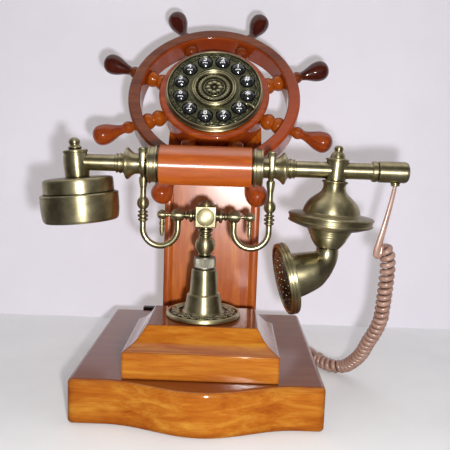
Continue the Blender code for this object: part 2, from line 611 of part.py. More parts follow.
def build_horn():
    """The elbow: circles that swing round its tight inner corner, then widen towards the mouthpiece ring."""
    throat = Vector((94.3, POST_Y, 126.3))
    rings = [circle(throat, (0, 0, -1), HORN_THROAT_R, HORN_SIDES)]
    for turn, radius in ((0, HORN_THROAT_R), (22, 8.9), (45, 9.9), (65, 11.8), (82, 14.2)):
        a = math.radians(turn)
        out = Vector((math.cos(a), 0, -math.sin(a)))
        rings.append(circle(HORN_CORNER + out * (radius + 0.7), (-math.sin(a), 0, -math.cos(a)), radius,
                            HORN_SIDES))
    back = HORN_MOUTH - HORN_AIM * 4.2 + Vector((0, 0, 0.6))
    rings.append(circle((77.0, POST_Y, 105.8), (-0.98, -0.08, -0.18), 16.4, HORN_SIDES))
    rings.append(circle(back, HORN_AIM, HORN_END_R, HORN_SIDES))
    horn = loft("horn", rings, frame_at((0, 0, 0)), "brass_antique")
    for face in horn.data.polygons:
        face.use_smooth = len(face.vertices) == 4


def build_mouthpiece():
    stem = turned(
        "mouth_stem",
        ((0, 17.0), (2.6, 16.7), (4.2, 15.3), (4.2, 13.5), (3.5, 12.9), (5.0, 10.9), (7.4, 8.3), (9.9, 7.4),
         (10.2, 6.4), (9.6, 5.5), (7.9, 4.8), (7.8, -7.5), (0, -7.5)),
        16, MOUTH, "brass_antique")
    cut(stem, rod("mouth_stem_bore", TUBE_R + GAP, 80, 118, 20, HANDSET))
    turned(
        "bell",
        ((0, -7.8), (9.5, -7.8), (10.1, -8.8), (8.8, -10.0), (8.6, -13.6), (10.0, -16.6), (14.0, -19.8),
         (18.2, -23.6), (21.0, -28.4), (22.0, -32.4), (27.0, -33.7), (31.8, -34.5), (32.6, -35.7),
         (32.6, -39.5), (31.0, -40.9), (24.0, -42.7), (16.6, -43.7), (15.3, -45.1), (15.0, -48.3),
         (13.2, -52.1), (9.4, -58.9), (0, -58.9)),
        28, MOUTH, "brass_antique")
    build_horn()
    place = frame_at(HORN_MOUTH, HORN_AIM, (0, 0, 1))
    turned(
        "mouth_ring",
        ((24.2, 2.8), (25.4, 3.4), (26.8, 3.1), (MOUTH_RING_R, 1.9), (MOUTH_RING_R, -2.5), (27.0, -3.8),
         (6.0, -3.8), (6.0, -2.2), (24.2, -2.2)),
        26, place, "brass_antique")
    grille = turned(
        "mouth_grille",
        ((0, 2.8), (12.0, 2.3), (20.5, 0.8), (23.9, -0.2), (23.9, -1.9), (20.0, -1.9), (11.0, 0.4), (0, 0.8)),
        24, place, "brass_antique")
    for circle, count in ((0, 1), (7.5, 6), (15.0, 9)):
        for i in range(count):
            angle = 2 * math.pi * i / count
            spot = place @ Matrix.Translation((circle * math.cos(angle) * MM, circle * math.sin(angle) * MM, 0))
            cut(grille, rod(f"grille_hole_{circle:.0f}_{i}", 1.5, -5, 6, 6, spot))


# ---- cord ---------------------------------------------------------------------------------------------------
def build_cord():
    """The cord as one plain solid: a thin tail at each end and the coil's envelope between."""
    tail = [(CORD_X, POST_Y, 180.5), (141.6, POST_Y, 168.0), (135.6, 46.4, 136.0)]
    coil = [(139.2, 47.4, 129.4), (141.6, 48.2, 113.0), (141.8, 51.5, 93.0), (141.8, 57.5, 73.0),
            (139.6, 66.0, 56.0), (136.6, 75.0, 43.0), (134.0, 86.0, 29.0), (131.0, 100.0, 16.0),
            (124.0, 113.5, 8.2), (114.5, 118.0, 7.2), (107.0, 128.0, 7.2), (103.5, 140.0, 7.6)]
    inlet = [(100.0, 147.5, 10.0), (CORD_ENTRY.x - 2, CORD_ENTRY.y, CORD_ENTRY.z)]
    path = curve_points(tail + coil + inlet, 3)
    radii = []
    first, last = 3 * (len(tail) - 1), 3 * (len(tail) + len(coil) - 1)
    for i in range(len(path)):
        thick = min(max(i - first, 0), max(last + 2 - i, 0), 3) / 3
        radii.append(CORD_TAIL_R + (CORD_COIL_R - CORD_TAIL_R) * thick)
    tube("coiled_cord", path, radii, "cord_mauve", sides=1)


build_base()
build_plinth()
build_column()
build_wheel()
build_dial()
build_post()
build_cross_block()
build_hooks()
build_grip_and_necks()
build_earpiece()
build_mouthpiece()
build_cord()
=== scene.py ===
"""Looks of the ship's-wheel cradle telephone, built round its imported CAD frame.

Lengths are millimetres unless a name says otherwise, and become metres when a mesh is made. Turned pieces are
lathed about the z axis of their own placing, so their brushing and grain follow that axis.
"""

import json
import math

import bmesh
import bpy
import numpy as np
from mathutils import Matrix, Vector


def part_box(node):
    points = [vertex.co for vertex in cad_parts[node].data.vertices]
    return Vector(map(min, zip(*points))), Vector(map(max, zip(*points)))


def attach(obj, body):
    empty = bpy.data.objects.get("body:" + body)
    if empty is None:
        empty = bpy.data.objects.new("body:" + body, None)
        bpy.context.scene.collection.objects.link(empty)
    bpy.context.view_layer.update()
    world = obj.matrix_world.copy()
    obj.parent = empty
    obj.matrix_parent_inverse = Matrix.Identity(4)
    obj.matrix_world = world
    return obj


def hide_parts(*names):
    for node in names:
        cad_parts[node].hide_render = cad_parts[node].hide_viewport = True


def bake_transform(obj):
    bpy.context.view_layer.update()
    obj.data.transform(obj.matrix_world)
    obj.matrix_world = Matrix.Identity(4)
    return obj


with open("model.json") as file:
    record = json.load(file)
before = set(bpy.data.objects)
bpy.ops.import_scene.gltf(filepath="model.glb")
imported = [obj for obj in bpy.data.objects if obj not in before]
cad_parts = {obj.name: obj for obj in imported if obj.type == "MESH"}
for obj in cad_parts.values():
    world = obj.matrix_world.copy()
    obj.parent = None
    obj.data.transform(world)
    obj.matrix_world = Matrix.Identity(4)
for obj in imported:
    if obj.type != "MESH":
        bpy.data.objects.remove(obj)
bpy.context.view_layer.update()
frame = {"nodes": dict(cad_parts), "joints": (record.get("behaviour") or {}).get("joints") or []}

MM = 0.001
TAU = 2 * math.pi
SOFT = "soft"                   # marks a profile point that a curve runs smoothly through


# ---- places, all read from the frame ----
def box_mm(node):
    """A CAD node's lowest and highest corners in mm."""
    low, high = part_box(node)
    return low / MM, high / MM


def centre_mm(node):
    """The middle of a CAD node's box in mm."""
    low, high = box_mm(node)
    return (low + high) / 2


def placing(point, z_axis=(0, 0, 1), x_axis=(1, 0, 0)):
    """A placing at a point in mm whose z runs along z_axis and whose x lies as near x_axis as it can."""
    z = Vector(z_axis).normalized()
    y = z.cross(Vector(x_axis)).normalized()
    turn = Matrix((y.cross(z), y, z)).transposed().to_4x4()
    return Matrix.Translation(Vector(point) * MM) @ turn


def shifted(place, x=0.0, y=0.0, z=0.0):
    """A placing moved in mm along its own axes."""
    return place @ Matrix.Translation(Vector((x, y, z)) * MM)


def beside_post(x, z):
    """An upright placing at x from the post's axis and at height z."""
    return placing((POST_AT.x + x, POST_AT.y, z))


JOINTS = {joint["name"]: joint for joint in frame["joints"]}
KEY_NAMES = ("2", "1", "hash", "star", "0", "9", "8", "7", "6", "5", "4", "3")  # clockwise from the top
RING_T = 22.0                   # thickness of the wheel's ring
RING_R, RING_INNER_R = 76.4, 65.8
WHEEL_AXIS = -Vector(JOINTS["key_1_press"]["axis"]).normalized()
WHEEL_CENTRE = centre_mm("wheel_ring") + WHEEL_AXIS * RING_T / 2
WHEEL = placing(WHEEL_CENTRE, WHEEL_AXIS)
POST_AT = centre_mm("knurled_nut")
POST = beside_post(0, 0)
HANDSET_AT = centre_mm("grip")
HANDSET = placing(HANDSET_AT, (1, 0, 0), (0, 0, -1))
HANDSET_LEFT = placing(HANDSET_AT, (-1, 0, 0), (0, 0, 1))
GROUND = Matrix.Identity(4)
EAR_OFFSET, EAR_TILT = -98.1, math.radians(5.5)
MOUTH_OFFSET, MOUTH_TILT = 98.8, math.radians(-3.5)
EAR = Matrix.Translation((HANDSET_AT + Vector((EAR_OFFSET, 0, 0))) * MM) @ Matrix.Rotation(-EAR_TILT, 4, "Y")
MOUTH = (Matrix.Translation((HANDSET_AT + Vector((MOUTH_OFFSET, 0, 0))) * MM)
         @ Matrix.Rotation(-MOUTH_TILT, 4, "Y"))
HORN_AIM = Vector((-0.966, -0.153, -0.208)).normalized()
HORN_MOUTH = HANDSET_AT + Vector((63.2, -0.5, -84.7))
MOUTHPIECE = placing(HORN_MOUTH, HORN_AIM, (0, 0, 1))


# ---- materials ----
TOP_SHADE = (0.16, 0.030, 0.006)        # painted shade: the darker colour of the upward faces


class Shader:
    """A material or world under construction, new or reopened; node() adds one node and wires it up."""

    def __init__(self, name, material=None):
        self.material = material or bpy.data.materials.new(name)
        self.material.use_nodes = True
        self.tree = self.material.node_tree
        self.principled = self.tree.nodes.get("Principled BSDF")

    def node(self, kind, inputs=None, **settings):
        made = self.tree.nodes.new("ShaderNode" + kind)
        for name, value in settings.items():
            setattr(made, name, value)
        self.fill(made, inputs or {})
        return made

    def fill(self, made, inputs):
        for name, value in inputs.items():
            if isinstance(value, bpy.types.NodeSocket):
                self.tree.links.new(value, made.inputs[name])
            else:
                made.inputs[name].default_value = value

    def ramp(self, factor, stops):
        made = self.node("ValToRGB", {"Fac": factor})
        elements = made.color_ramp.elements
        while len(elements) < len(stops):
            elements.new(0.5)
        for element, (position, colour) in zip(elements, stops):
            element.position = position
            element.color = (*colour, 1.0)
        return made.outputs["Color"]

    def math(self, operation, a, b=0.0, clamp=False):
        return self.node("Math", {0: a, 1: b}, operation=operation, use_clamp=clamp).outputs[0]

    def mix(self, factor, a, b, blend="MIX"):
        made = self.node("Mix", {"Factor": factor}, data_type="RGBA", blend_type=blend)
        self.fill(made, {6: a if not isinstance(a, tuple) else (*a, 1.0),
                         7: b if not isinstance(b, tuple) else (*b, 1.0)})
        return made.outputs[2]

    def noise(self, vector, scale, detail=3.0, roughness=0.5, distortion=0.0):
        return self.node("TexNoise", {"Vector": vector, "Scale": scale, "Detail": detail,
                                      "Roughness": roughness, "Distortion": distortion}).outputs["Fac"]

    def place(self, stretch=(1, 1, 1), offset=(0, 0, 0)):
        coords = self.node("TexCoord").outputs["Object"]
        return self.node("Mapping", {"Vector": coords, "Scale": stretch, "Location": offset}).outputs[0]

    def axes(self):
        """Position along the piece's own x, y and z, in metres."""
        return self.node("SeparateXYZ", {0: self.node("TexCoord").outputs["Object"]}).outputs

    def fade(self, value, start, end):
        """0 where the value is at start, 1 where it is at end, and straight between them."""
        return self.node("MapRange", {"Value": value, 1: start, 2: end}).outputs[0]

    def rings(self):
        """A vector that is the same all round the z axis: distance from it, and height."""
        split = self.axes()
        radius = self.math("SQRT", self.math("ADD", self.math("MULTIPLY", split[0], split[0]),
                                             self.math("MULTIPLY", split[1], split[1])))
        return self.node("CombineXYZ", {0: radius, 1: split[2]}).outputs[0]

    def crevices(self, distance_mm):
        """Near 1 in the open and near 0 in narrow recesses."""
        return self.node("AmbientOcclusion", {"Distance": distance_mm * MM}, samples=6).outputs["AO"]

    def shade_turned_away(self, colour):
        """The colour with painted shade where a surface turns away from the eye."""
        facing = self.node("LayerWeight", {"Blend": 0.5}).outputs["Facing"]
        shade = self.ramp(facing, ((0.55, (1, 1, 1)), (0.95, (0.38, 0.35, 0.31))))
        return self.mix(1.0, colour, shade, "MULTIPLY")

    def darken_edges_shade_tops(self, colour, dark, radius_mm):
        """The colour darker along the piece's outer edges, and with painted shade over its upward faces."""
        rounded = self.node("Bevel", {"Radius": radius_mm * MM}, samples=6).outputs["Normal"]
        true = self.node("NewGeometry").outputs["True Normal"]
        agree = self.node("VectorMath", {0: rounded, 1: true}, operation="DOT_PRODUCT").outputs["Value"]
        edge = self.fade(agree, 0.995, 0.90)
        upward = self.node("SeparateXYZ", {0: true}).outputs[2]
        top = self.fade(upward, 0.72, 0.97)
        # painted shade: the upward faces take the darker top colour
        colour = self.mix(self.math("MULTIPLY", top, 0.85), colour, TOP_SHADE)
        return self.mix(self.math("MULTIPLY", edge, 0.75), colour, dark)

    def bump(self, height, strength, distance_mm, normal=None):
        inputs = {"Height": height, "Strength": strength, "Distance": distance_mm * MM}
        if normal is not None:
            inputs["Normal"] = normal
        return self.node("Bump", inputs).outputs["Normal"]

    def switch(self, condition, other):
        """Another shader takes over from the Principled one where the condition is 1."""
        mixed = self.node("MixShader", {0: condition, 1: self.principled.outputs[0], 2: other.outputs[0]})
        self.tree.links.new(mixed.outputs[0], self.tree.nodes["Material Output"].inputs["Surface"])

    def finish(self, **inputs):
        self.fill(self.principled, {name.replace("_", " "): value for name, value in inputs.items()})
        return self.material


def grain_stretch(along, length):
    """Scale of a pattern drawn out along one axis; a smaller length draws it out further."""
    return tuple(length if axis == along else 9.0 for axis in "xyz")


def wood(name, along, dark, middle, light, offset=0.0, gloss=1.5, haze_of_coat=0.09, edge_mm=0.0):
    """Stained, lacquered hardwood with its grain along one axis of the piece."""
    s = Shader(name)
    coords = s.place(grain_stretch(along, 1.0), (offset, offset * 1.7, offset * 2.3))
    figure = s.noise(coords, 14.0, 3.0, 0.55, 0.8)
    bands = s.noise(coords, 60.0, 4.0, 0.6, 0.3)
    tone = s.math("ADD", s.math("MULTIPLY", figure, 0.72), s.math("MULTIPLY", bands, 0.28))
    colour = s.ramp(tone, ((0.30, dark), (0.50, middle), (0.68, light)))
    pores = s.noise(s.place(grain_stretch(along, 0.55), (offset, 0.3, 0.1)), 190.0, 2.0, 0.6)
    dashes = s.math("MULTIPLY", s.math("SUBTRACT", 0.43, pores, clamp=True), 6.0, clamp=True)
    colour = s.mix(s.math("MULTIPLY", dashes, 0.38), colour, tuple(c * 0.30 for c in dark))
    if edge_mm:
        # darker along the outer edges, and painted shade on the upward faces
        colour = s.darken_edges_shade_tops(colour, tuple(c * 0.55 for c in dark), edge_mm)
    haze = s.noise(s.place((1, 1, 1)), 45.0, 2.0)
    ripple = s.noise(s.place((1, 1, 1), (0.2, 0.7, 0.4)), 26.0, 1.0)
    normal = s.bump(pores, 0.10, 0.12)
    varnish = s.bump(ripple, 0.12, 0.35)
    rough = s.math("ADD", 0.30, s.math("MULTIPLY", haze, 0.15))
    return s.finish(Base_Color=colour, Roughness=rough, Normal=normal, Coat_Weight=1.0, Coat_IOR=gloss,
                    Coat_Roughness=haze_of_coat, Coat_Normal=varnish, Specular_IOR_Level=0.02)


STAIN_ENDS, SPOOL_STARTS = 86.0, 72.0   # along a spoke, from the wheel's axis


def spoke_wood(name, stain, spool_tones):
    """Turned spoke: cherry stain on the handle, going to orange on the spool inside the ring."""
    s = Shader(name, wood(name, "z", *stain, offset=5.0))
    stained = s.principled.inputs["Base Color"].links[0].from_socket
    reach = s.axes()[2]
    inside = s.fade(reach, STAIN_ENDS * MM, SPOOL_STARTS * MM)
    spool = s.mix(s.noise(s.place((9, 9, 1)), 30.0), *spool_tones)
    return s.finish(Base_Color=s.mix(inside, stained, spool))


def wheel_wood(name):
    """The ring's stain: dark cherry, with red-orange at the lower right and on the inner wall."""
    s = Shader(name, wood(name, "x", *RING_STAIN, offset=4.2))
    stained = s.principled.inputs["Base Color"].links[0].from_socket
    split = s.axes()
    slant = s.math("SUBTRACT", s.math("MULTIPLY", split[0], 0.9), s.math("MULTIPLY", split[1], 0.45))
    lower = s.fade(slant, 0.030, 0.072)
    reach = s.node("SeparateXYZ", {0: s.rings()}).outputs[0]
    inner = s.fade(reach, (RING_INNER_R + 1.0) * MM, (RING_INNER_R + 0.2) * MM)
    tint = s.mix(s.noise(s.place((1, 9, 9)), 30.0), (0.27, 0.030, 0.004), (0.38, 0.062, 0.007))
    return s.finish(Base_Color=s.mix(s.math("MAXIMUM", lower, s.math("MULTIPLY", inner, 0.8)), stained, tint))


def turned_wood(name, dark, middle, light):
    """Lathe-polished grip: no coat, but a highlight that its turning marks draw out along the axis."""
    s = Shader(name, wood(name, "z", dark, middle, light, offset=2.1))
    tangent = s.node("Tangent", direction_type="RADIAL", axis="Z").outputs[0]
    for link in list(s.principled.inputs["Roughness"].links):
        s.tree.links.remove(link)
    facing = s.node("LayerWeight", {"Blend": 0.5}).outputs["Facing"]
    gloss = s.node("MapRange", {"Value": facing, 1: 0.30, 2: 0.62, 3: 1.0, 4: 0.04}).outputs[0]
    return s.finish(Coat_Weight=0.0, Specular_IOR_Level=gloss, IOR=1.85, Roughness=0.38, Anisotropic=1.0,
                    Anisotropic_Rotation=0.25, Tangent=tangent)


BRASS_LACQUER = (0.030, 0.026, 0.016)
TURNED_ROUGHNESS, CAST_ROUGHNESS = 0.38, 0.27


def brass(name, bright, olive, turned=True, recess_mm=3.0, roughness=None):
    """Antiqued brass: brushed metal, olive patina in patches and near-black lacquer left in the recesses."""
    s = Shader(name)
    patches = s.noise(s.place(), 85.0, 5.0, 0.6)
    colour = s.ramp(patches, ((0.36, olive), (0.62, bright)))
    recess = s.ramp(s.crevices(recess_mm), ((0.28, (1, 1, 1)), (0.80, (0, 0, 0))))
    # painted shade: darker where the surface turns away from the eye
    colour = s.shade_turned_away(s.mix(recess, colour, BRASS_LACQUER))
    lines = s.rings() if turned else s.place((1.0, 1.0, 1.0))
    brushing = s.noise(lines, 2600.0 if turned else 900.0, 2.0, 0.7)
    wear = s.noise(s.place((1, 1, 1), (0.4, 0.1, 0.9)), 210.0, 3.0)
    if roughness is None:
        roughness = TURNED_ROUGHNESS if turned else CAST_ROUGHNESS
    rough = s.math("ADD", s.math("MULTIPLY", wear, 0.16), roughness - 0.08)
    rough = s.math("ADD", rough, s.math("MULTIPLY", brushing, 0.06))
    normal = s.bump(brushing, 0.10, 0.02)
    inputs = {"Base Color": colour, "Roughness": rough, "Metallic": 1.0, "Normal": normal}
    if turned:
        tangent = s.node("Tangent", direction_type="RADIAL", axis="Z").outputs[0]
        inputs.update({"Anisotropic": 0.76, "Anisotropic Rotation": 0.25, "Tangent": tangent})
    s.fill(s.principled, inputs)
    return s.material


def relief_brass(name, low, middle, high, span=(0.25, 0.5, 0.8), roughness=0.30):
    """Brass whose raised pattern is rubbed bright and whose hollows keep dark lacquer."""
    s = Shader(name)
    raised = s.node("Attribute", attribute_name="raised").outputs["Fac"]
    patches = s.noise(s.place(), 260.0, 3.0, 0.6)
    height = s.math("ADD", raised, s.math("MULTIPLY", s.math("SUBTRACT", patches, 0.5), 0.22))
    colour = s.ramp(height, tuple(zip(span, (low, middle, high))))
    fine = s.noise(s.place(), 1500.0, 2.0)
    rough = s.math("ADD", roughness - 0.05, s.math("MULTIPLY", patches, 0.12))
    return s.finish(Base_Color=colour, Metallic=1.0, Roughness=rough, Normal=s.bump(fine, 0.12, 0.03))


def key_plastic():
    """Glossy black plastic of the keys."""
    s = Shader("key_black_gloss")
    specks = s.noise(s.place(), 900.0, 2.0)
    colour = s.ramp(specks, ((0.3, (0.006, 0.007, 0.009)), (0.8, (0.016, 0.018, 0.022))))
    return s.finish(Base_Color=colour, Roughness=s.math("ADD", 0.10, s.math("MULTIPLY", specks, 0.10)),
                    Coat_Weight=0.8, Coat_Roughness=0.04, Normal=s.bump(specks, 0.05, 0.02))


def numeral_ink():
    """White print."""
    s = Shader("numeral_white")
    grain = s.noise(s.place(), 1500.0, 2.0)
    colour = s.ramp(grain, ((0.2, (0.86, 0.88, 0.90)), (0.8, (0.93, 0.94, 0.95))))
    return s.finish(Base_Color=colour, Roughness=0.45)


def cord_skin():
    """Mauve-brown vinyl with painted shade in the gaps between its turns."""
    s = Shader("cord_vinyl")
    tint = s.noise(s.place(), 130.0, 4.0)
    colour = s.ramp(tint, ((0.3, (0.290, 0.165, 0.125)), (0.7, (0.395, 0.245, 0.195))))
    # painted shade: darker in the narrow gaps between the turns
    gap_shade = s.ramp(s.crevices(2.0), ((0.25, (0.35, 0.30, 0.28)), (0.85, (1, 1, 1))))
    colour = s.mix(1.0, colour, gap_shade, "MULTIPLY")
    return s.finish(Base_Color=colour, Roughness=0.34, Normal=s.bump(s.noise(s.place(), 1400.0), 0.06, 0.03),
                    Coat_Weight=0.35, Coat_Roughness=0.12)


def moulded(name, dark, light, roughness, grain=1600.0, metallic=0.0):
    """Plain moulded or drawn material with a fine grain."""
    s = Shader(name)
    fine = s.noise(s.place(), grain, 3.0)
    colour = s.ramp(fine, ((0.25, dark), (0.75, light)))
    return s.finish(Base_Color=colour, Roughness=s.math("ADD", roughness, s.math("MULTIPLY", fine, 0.12)),
                    Metallic=metallic, Normal=s.bump(fine, 0.20, 0.05))


def circuit_board():
    """Solder mask with copper tracks showing through as paler lines."""
    s = Shader("board_solder_mask")
    tracks = s.node("TexBrick", {"Vector": s.place(), "Scale": 130.0, "Mortar Size": 0.05,
                                 "Color1": (0.010, 0.085, 0.030, 1), "Color2": (0.014, 0.105, 0.036, 1),
                                 "Mortar": (0.06, 0.24, 0.07, 1)})
    return s.finish(Base_Color=tracks.outputs["Color"], Roughness=0.35,
                    Normal=s.bump(tracks.outputs["Fac"], 0.3, 0.05))


# Dark, middle and light tones of each stain.
HONEY = ((0.24, 0.044, 0.002), (0.36, 0.110, 0.008), (0.47, 0.205, 0.022))
RUST = ((0.28, 0.040, 0.002), (0.40, 0.082, 0.005), (0.53, 0.145, 0.010))
GRIP_STAIN = ((0.30, 0.042, 0.003), (0.41, 0.082, 0.005), (0.50, 0.135, 0.008))
RING_STAIN = ((0.095, 0.015, 0.003), (0.165, 0.034, 0.006), (0.25, 0.062, 0.010))
HOUSING_STAIN = ((0.20, 0.022, 0.003), (0.31, 0.044, 0.005), (0.42, 0.085, 0.008))
SPOKE_DARK = ((0.026, 0.003, 0.001), (0.052, 0.006, 0.002), (0.085, 0.011, 0.003))
SPOKE_RED = ((0.14, 0.018, 0.003), (0.25, 0.038, 0.005), (0.34, 0.066, 0.008))
# The two tones of the spools between ring and housing: their own, and a darker copy that is painted shade for
# the two top spools, which sit in shadow.
CLEAR_SPOOL = ((0.28, 0.045, 0.003), (0.42, 0.095, 0.006))
SHADED_SPOOL = ((0.15, 0.020, 0.002), (0.24, 0.045, 0.004))

MATERIALS = {
    "honey_x": wood("wood_honey_x", "x", *HONEY, edge_mm=7.0),
    "honey_plinth": wood("wood_honey_plinth", "x", *HONEY, offset=1.3, edge_mm=3.0),
    "rust_z": wood("wood_rust_z", "z", *RUST, offset=0.6, gloss=1.68, haze_of_coat=0.27),
    "rust_turned": turned_wood("wood_rust_turned", *GRIP_STAIN),
    "spoke_dark": spoke_wood("wood_spoke_dark", SPOKE_DARK, CLEAR_SPOOL),
    "spoke_red": spoke_wood("wood_spoke_red", SPOKE_RED, CLEAR_SPOOL),
    # painted shade: the spools of the two top spokes take the darker spool tones
    "spoke_top": spoke_wood("wood_spoke_top", SPOKE_DARK, SHADED_SPOOL),
    "cherry_ring": wheel_wood("wood_cherry_ring"),
    "housing": wood("wood_housing", "x", *HOUSING_STAIN, offset=4.2),
    "brass": brass("brass_turned", (0.55, 0.49, 0.30), (0.33, 0.29, 0.165)),
    "brass_cast": brass("brass_cast", (0.50, 0.45, 0.27), (0.30, 0.265, 0.150), turned=False, recess_mm=2.2),
    "brass_block": brass("brass_block", (0.34, 0.31, 0.20), (0.19, 0.17, 0.10), turned=False, recess_mm=2.2,
                         roughness=0.40),
    "brass_bright": brass("brass_bright", (0.74, 0.68, 0.42), (0.50, 0.46, 0.26), recess_mm=1.5),
    "brass_grille": brass("brass_grille", (0.26, 0.25, 0.19), (0.07, 0.066, 0.05), turned=False,
                          recess_mm=2.4,
                          roughness=0.30),
    "nut": brass("brass_nut", (0.44, 0.415, 0.34), (0.29, 0.27, 0.22), turned=False, recess_mm=0.8,
                 roughness=0.42),
    "relief_flange": relief_brass("relief_flange", (0.012, 0.011, 0.008), (0.10, 0.095, 0.055),
                                  (0.74, 0.71, 0.47), (0.3, 0.55, 0.85)),
    "relief_dial": relief_brass("relief_dial", (0.060, 0.060, 0.036), (0.21, 0.205, 0.120),
                                (0.52, 0.51, 0.31), (0.58, 0.76, 0.93), 0.36),
    "relief_medallion": relief_brass("relief_medallion", (0.03, 0.028, 0.018), (0.14, 0.13, 0.075),
                                     (0.55, 0.52, 0.30), (0.1, 0.4, 0.85)),
    "key": key_plastic(),
    "ink": numeral_ink(),
    "cord": cord_skin(),
    "rubber": moulded("rubber_foot_grain", (0.012, 0.012, 0.012), (0.03, 0.03, 0.03), 0.7),
    "plastic": moulded("plastic_black_grain", (0.010, 0.010, 0.012), (0.026, 0.026, 0.030), 0.38),
    "steel": moulded("steel_drawn", (0.38, 0.38, 0.40), (0.60, 0.60, 0.62), 0.24, 700.0, 1.0),
    "board": circuit_board(),
    # painted shade behind the grille's holes
    "dark": moulded("painted_shade_dark", (0.008, 0.007, 0.005), (0.020, 0.017, 0.012), 0.6),
}


# ---- building ----
def add_object(name, data, place=GROUND):
    """A new object in the scene, standing at a placing."""
    made = bpy.data.objects.new(name, data)
    made.matrix_world = place
    bpy.context.scene.collection.objects.link(made)
    return made


def make(name, points_mm, polygons, place, material, smooth=True):
    """A mesh object at a placing; points are in mm in that placing."""
    mesh = bpy.data.meshes.new(name)
    mesh.from_pydata((np.asarray(points_mm, float) * MM).tolist(), [], polygons)
    mesh.polygons.foreach_set("use_smooth", [smooth] * len(mesh.polygons))
    mesh.materials.append(MATERIALS[material])
    return add_object(name, mesh, place)


def settle(piece, body, slot, *nodes):
    """The piece moves with a body and stands for these CAD nodes; slot is not used."""
    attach(piece, body)
    if nodes:
        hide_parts(*nodes)
    return piece


def brass_turning(name, profile, place, body, *nodes, steps=72, fillet=0.3, material="brass", **more):
    """A lathed brass piece, settled on its body."""
    return settle(lathe(name, profile, place, material, steps, fillet, **more), body, "brass_antique", *nodes)


def even_normals(piece):
    step = piece.modifiers.new("even_normals", "WEIGHTED_NORMAL")
    step.keep_sharp = True
    step.weight = 60
    return piece


def hermite(a, b, leave, arrive, t):
    """Point at t from 0 to 1 on the curve from a to b with these slopes at its ends."""
    return ((2 * t ** 3 - 3 * t * t + 1) * a + (t ** 3 - 2 * t * t + t) * leave
            + (3 * t * t - 2 * t ** 3) * b + (t ** 3 - t * t) * arrive)


def smooth_profile(profile, closed, fillet, spacing=None):
    """Dense (radius, height) points: curves through soft points, a small fillet at other corners."""
    knots = [Vector(p[:2]) for p in profile]
    soft = [len(p) > 2 for p in profile]
    count = len(knots)
    spans = count if closed else count - 1

    def heading(i):
        before = knots[i - 1] if closed or i > 0 else Vector((-knots[1].x, knots[1].y))
        after = knots[(i + 1) % count] if closed or i < count - 1 else Vector((-knots[-2].x, knots[-2].y))
        return (after - before).normalized()

    chain = []
    for i in range(spans):
        j = (i + 1) % count
        chord = knots[j] - knots[i]
        leave = heading(i) * chord.length if soft[i] else chord
        arrive = heading(j) * chord.length if soft[j] else chord
        cuts = 7 if soft[i] or soft[j] else 1
        for k in range(cuts):
            chain.append((hermite(knots[i], knots[j], leave, arrive, k / cuts), k == 0 and not soft[i]))
    if not closed:
        chain.append((knots[-1], False))
    dense = []
    total = len(chain)
    for i, (point, corner) in enumerate(chain):
        if not corner or (not closed and i in (0, total - 1)):
            dense.append(point)
            continue
        before, after = chain[i - 1][0] - point, chain[(i + 1) % total][0] - point
        if before.length < 1e-6 or after.length < 1e-6 or before.angle(after) > math.radians(172):
            dense.append(point)
            continue
        reach = min(fillet, before.length * 0.45, after.length * 0.45)
        start, end = point + before.normalized() * reach, point + after.normalized() * reach
        for t in (0, 0.25, 0.5, 0.75, 1):
            dense.append(start * (1 - t) ** 2 + point * 2 * t * (1 - t) + end * t * t)
    if spacing:
        even = []
        for i in range(len(dense) if closed else len(dense) - 1):
            a, b = dense[i], dense[(i + 1) % len(dense)]
            cuts = max(1, math.ceil((b - a).length / spacing))
            even += [a.lerp(b, k / cuts) for k in range(cuts)]
        dense = even if closed else even + [dense[-1]]
    return np.array([tuple(p) for p in dense])


def lathe(name, profile, place, material, steps=72, fillet=0.35, relief=None, spacing=None):
    """A turned piece. profile runs down the outer side; one that starts off the axis is a closed loop. relief
    gives the height of a pattern raised off the surface, from arrays of radius, height and angle."""
    closed = profile[0][0] > 0
    points = smooth_profile(profile, closed, fillet, spacing)
    radius, height = points[:, 0], points[:, 1]
    angle = np.arange(steps) * TAU / steps
    r = np.repeat(radius[:, None], steps, 1)
    h = np.repeat(height[:, None], steps, 1)
    if relief is not None:
        ahead, behind = np.roll(points, -1, 0), np.roll(points, 1, 0)
        if not closed:
            ahead[-1], behind[0] = points[-1], points[0]
        along = ahead - behind
        along /= np.maximum(np.linalg.norm(along, axis=1, keepdims=True), 1e-9)
        raised = relief(r, h, np.repeat(angle[None, :], len(points), 0))
        share = (raised - raised.min()) / max(np.ptp(raised), 1e-6)
        r = r - along[:, 1:2] * raised
        h = h + along[:, 0:1] * raised
    vertices, heights, index = [], [], np.zeros((len(points), steps), int)
    for i in range(len(points)):
        if radius[i] < 1e-6:
            index[i] = len(vertices)
            vertices.append((0, 0, h[i].mean()))
            heights.append(share[i].mean() if relief is not None else 0)
            continue
        index[i] = len(vertices) + np.arange(steps)
        vertices += list(zip(r[i] * np.cos(angle), r[i] * np.sin(angle), h[i]))
        heights += list(share[i]) if relief is not None else [0] * steps
    polygons = []
    for i in range(len(points) if closed else len(points) - 1):
        upper, lower = index[i], index[(i + 1) % len(points)]
        for j in range(steps):
            k = (j + 1) % steps
            corners = (upper[j], lower[j], lower[k], upper[k])
            polygons.append(tuple(int(c) for c in dict.fromkeys(corners)))
    polygons = [p for p in polygons if len(p) > 2]
    piece = make(name, vertices, polygons, place, material)
    if relief is None:
        return even_normals(piece)
    piece.data.attributes.new("raised", "FLOAT", "POINT").data.foreach_set("value", heights)
    return piece


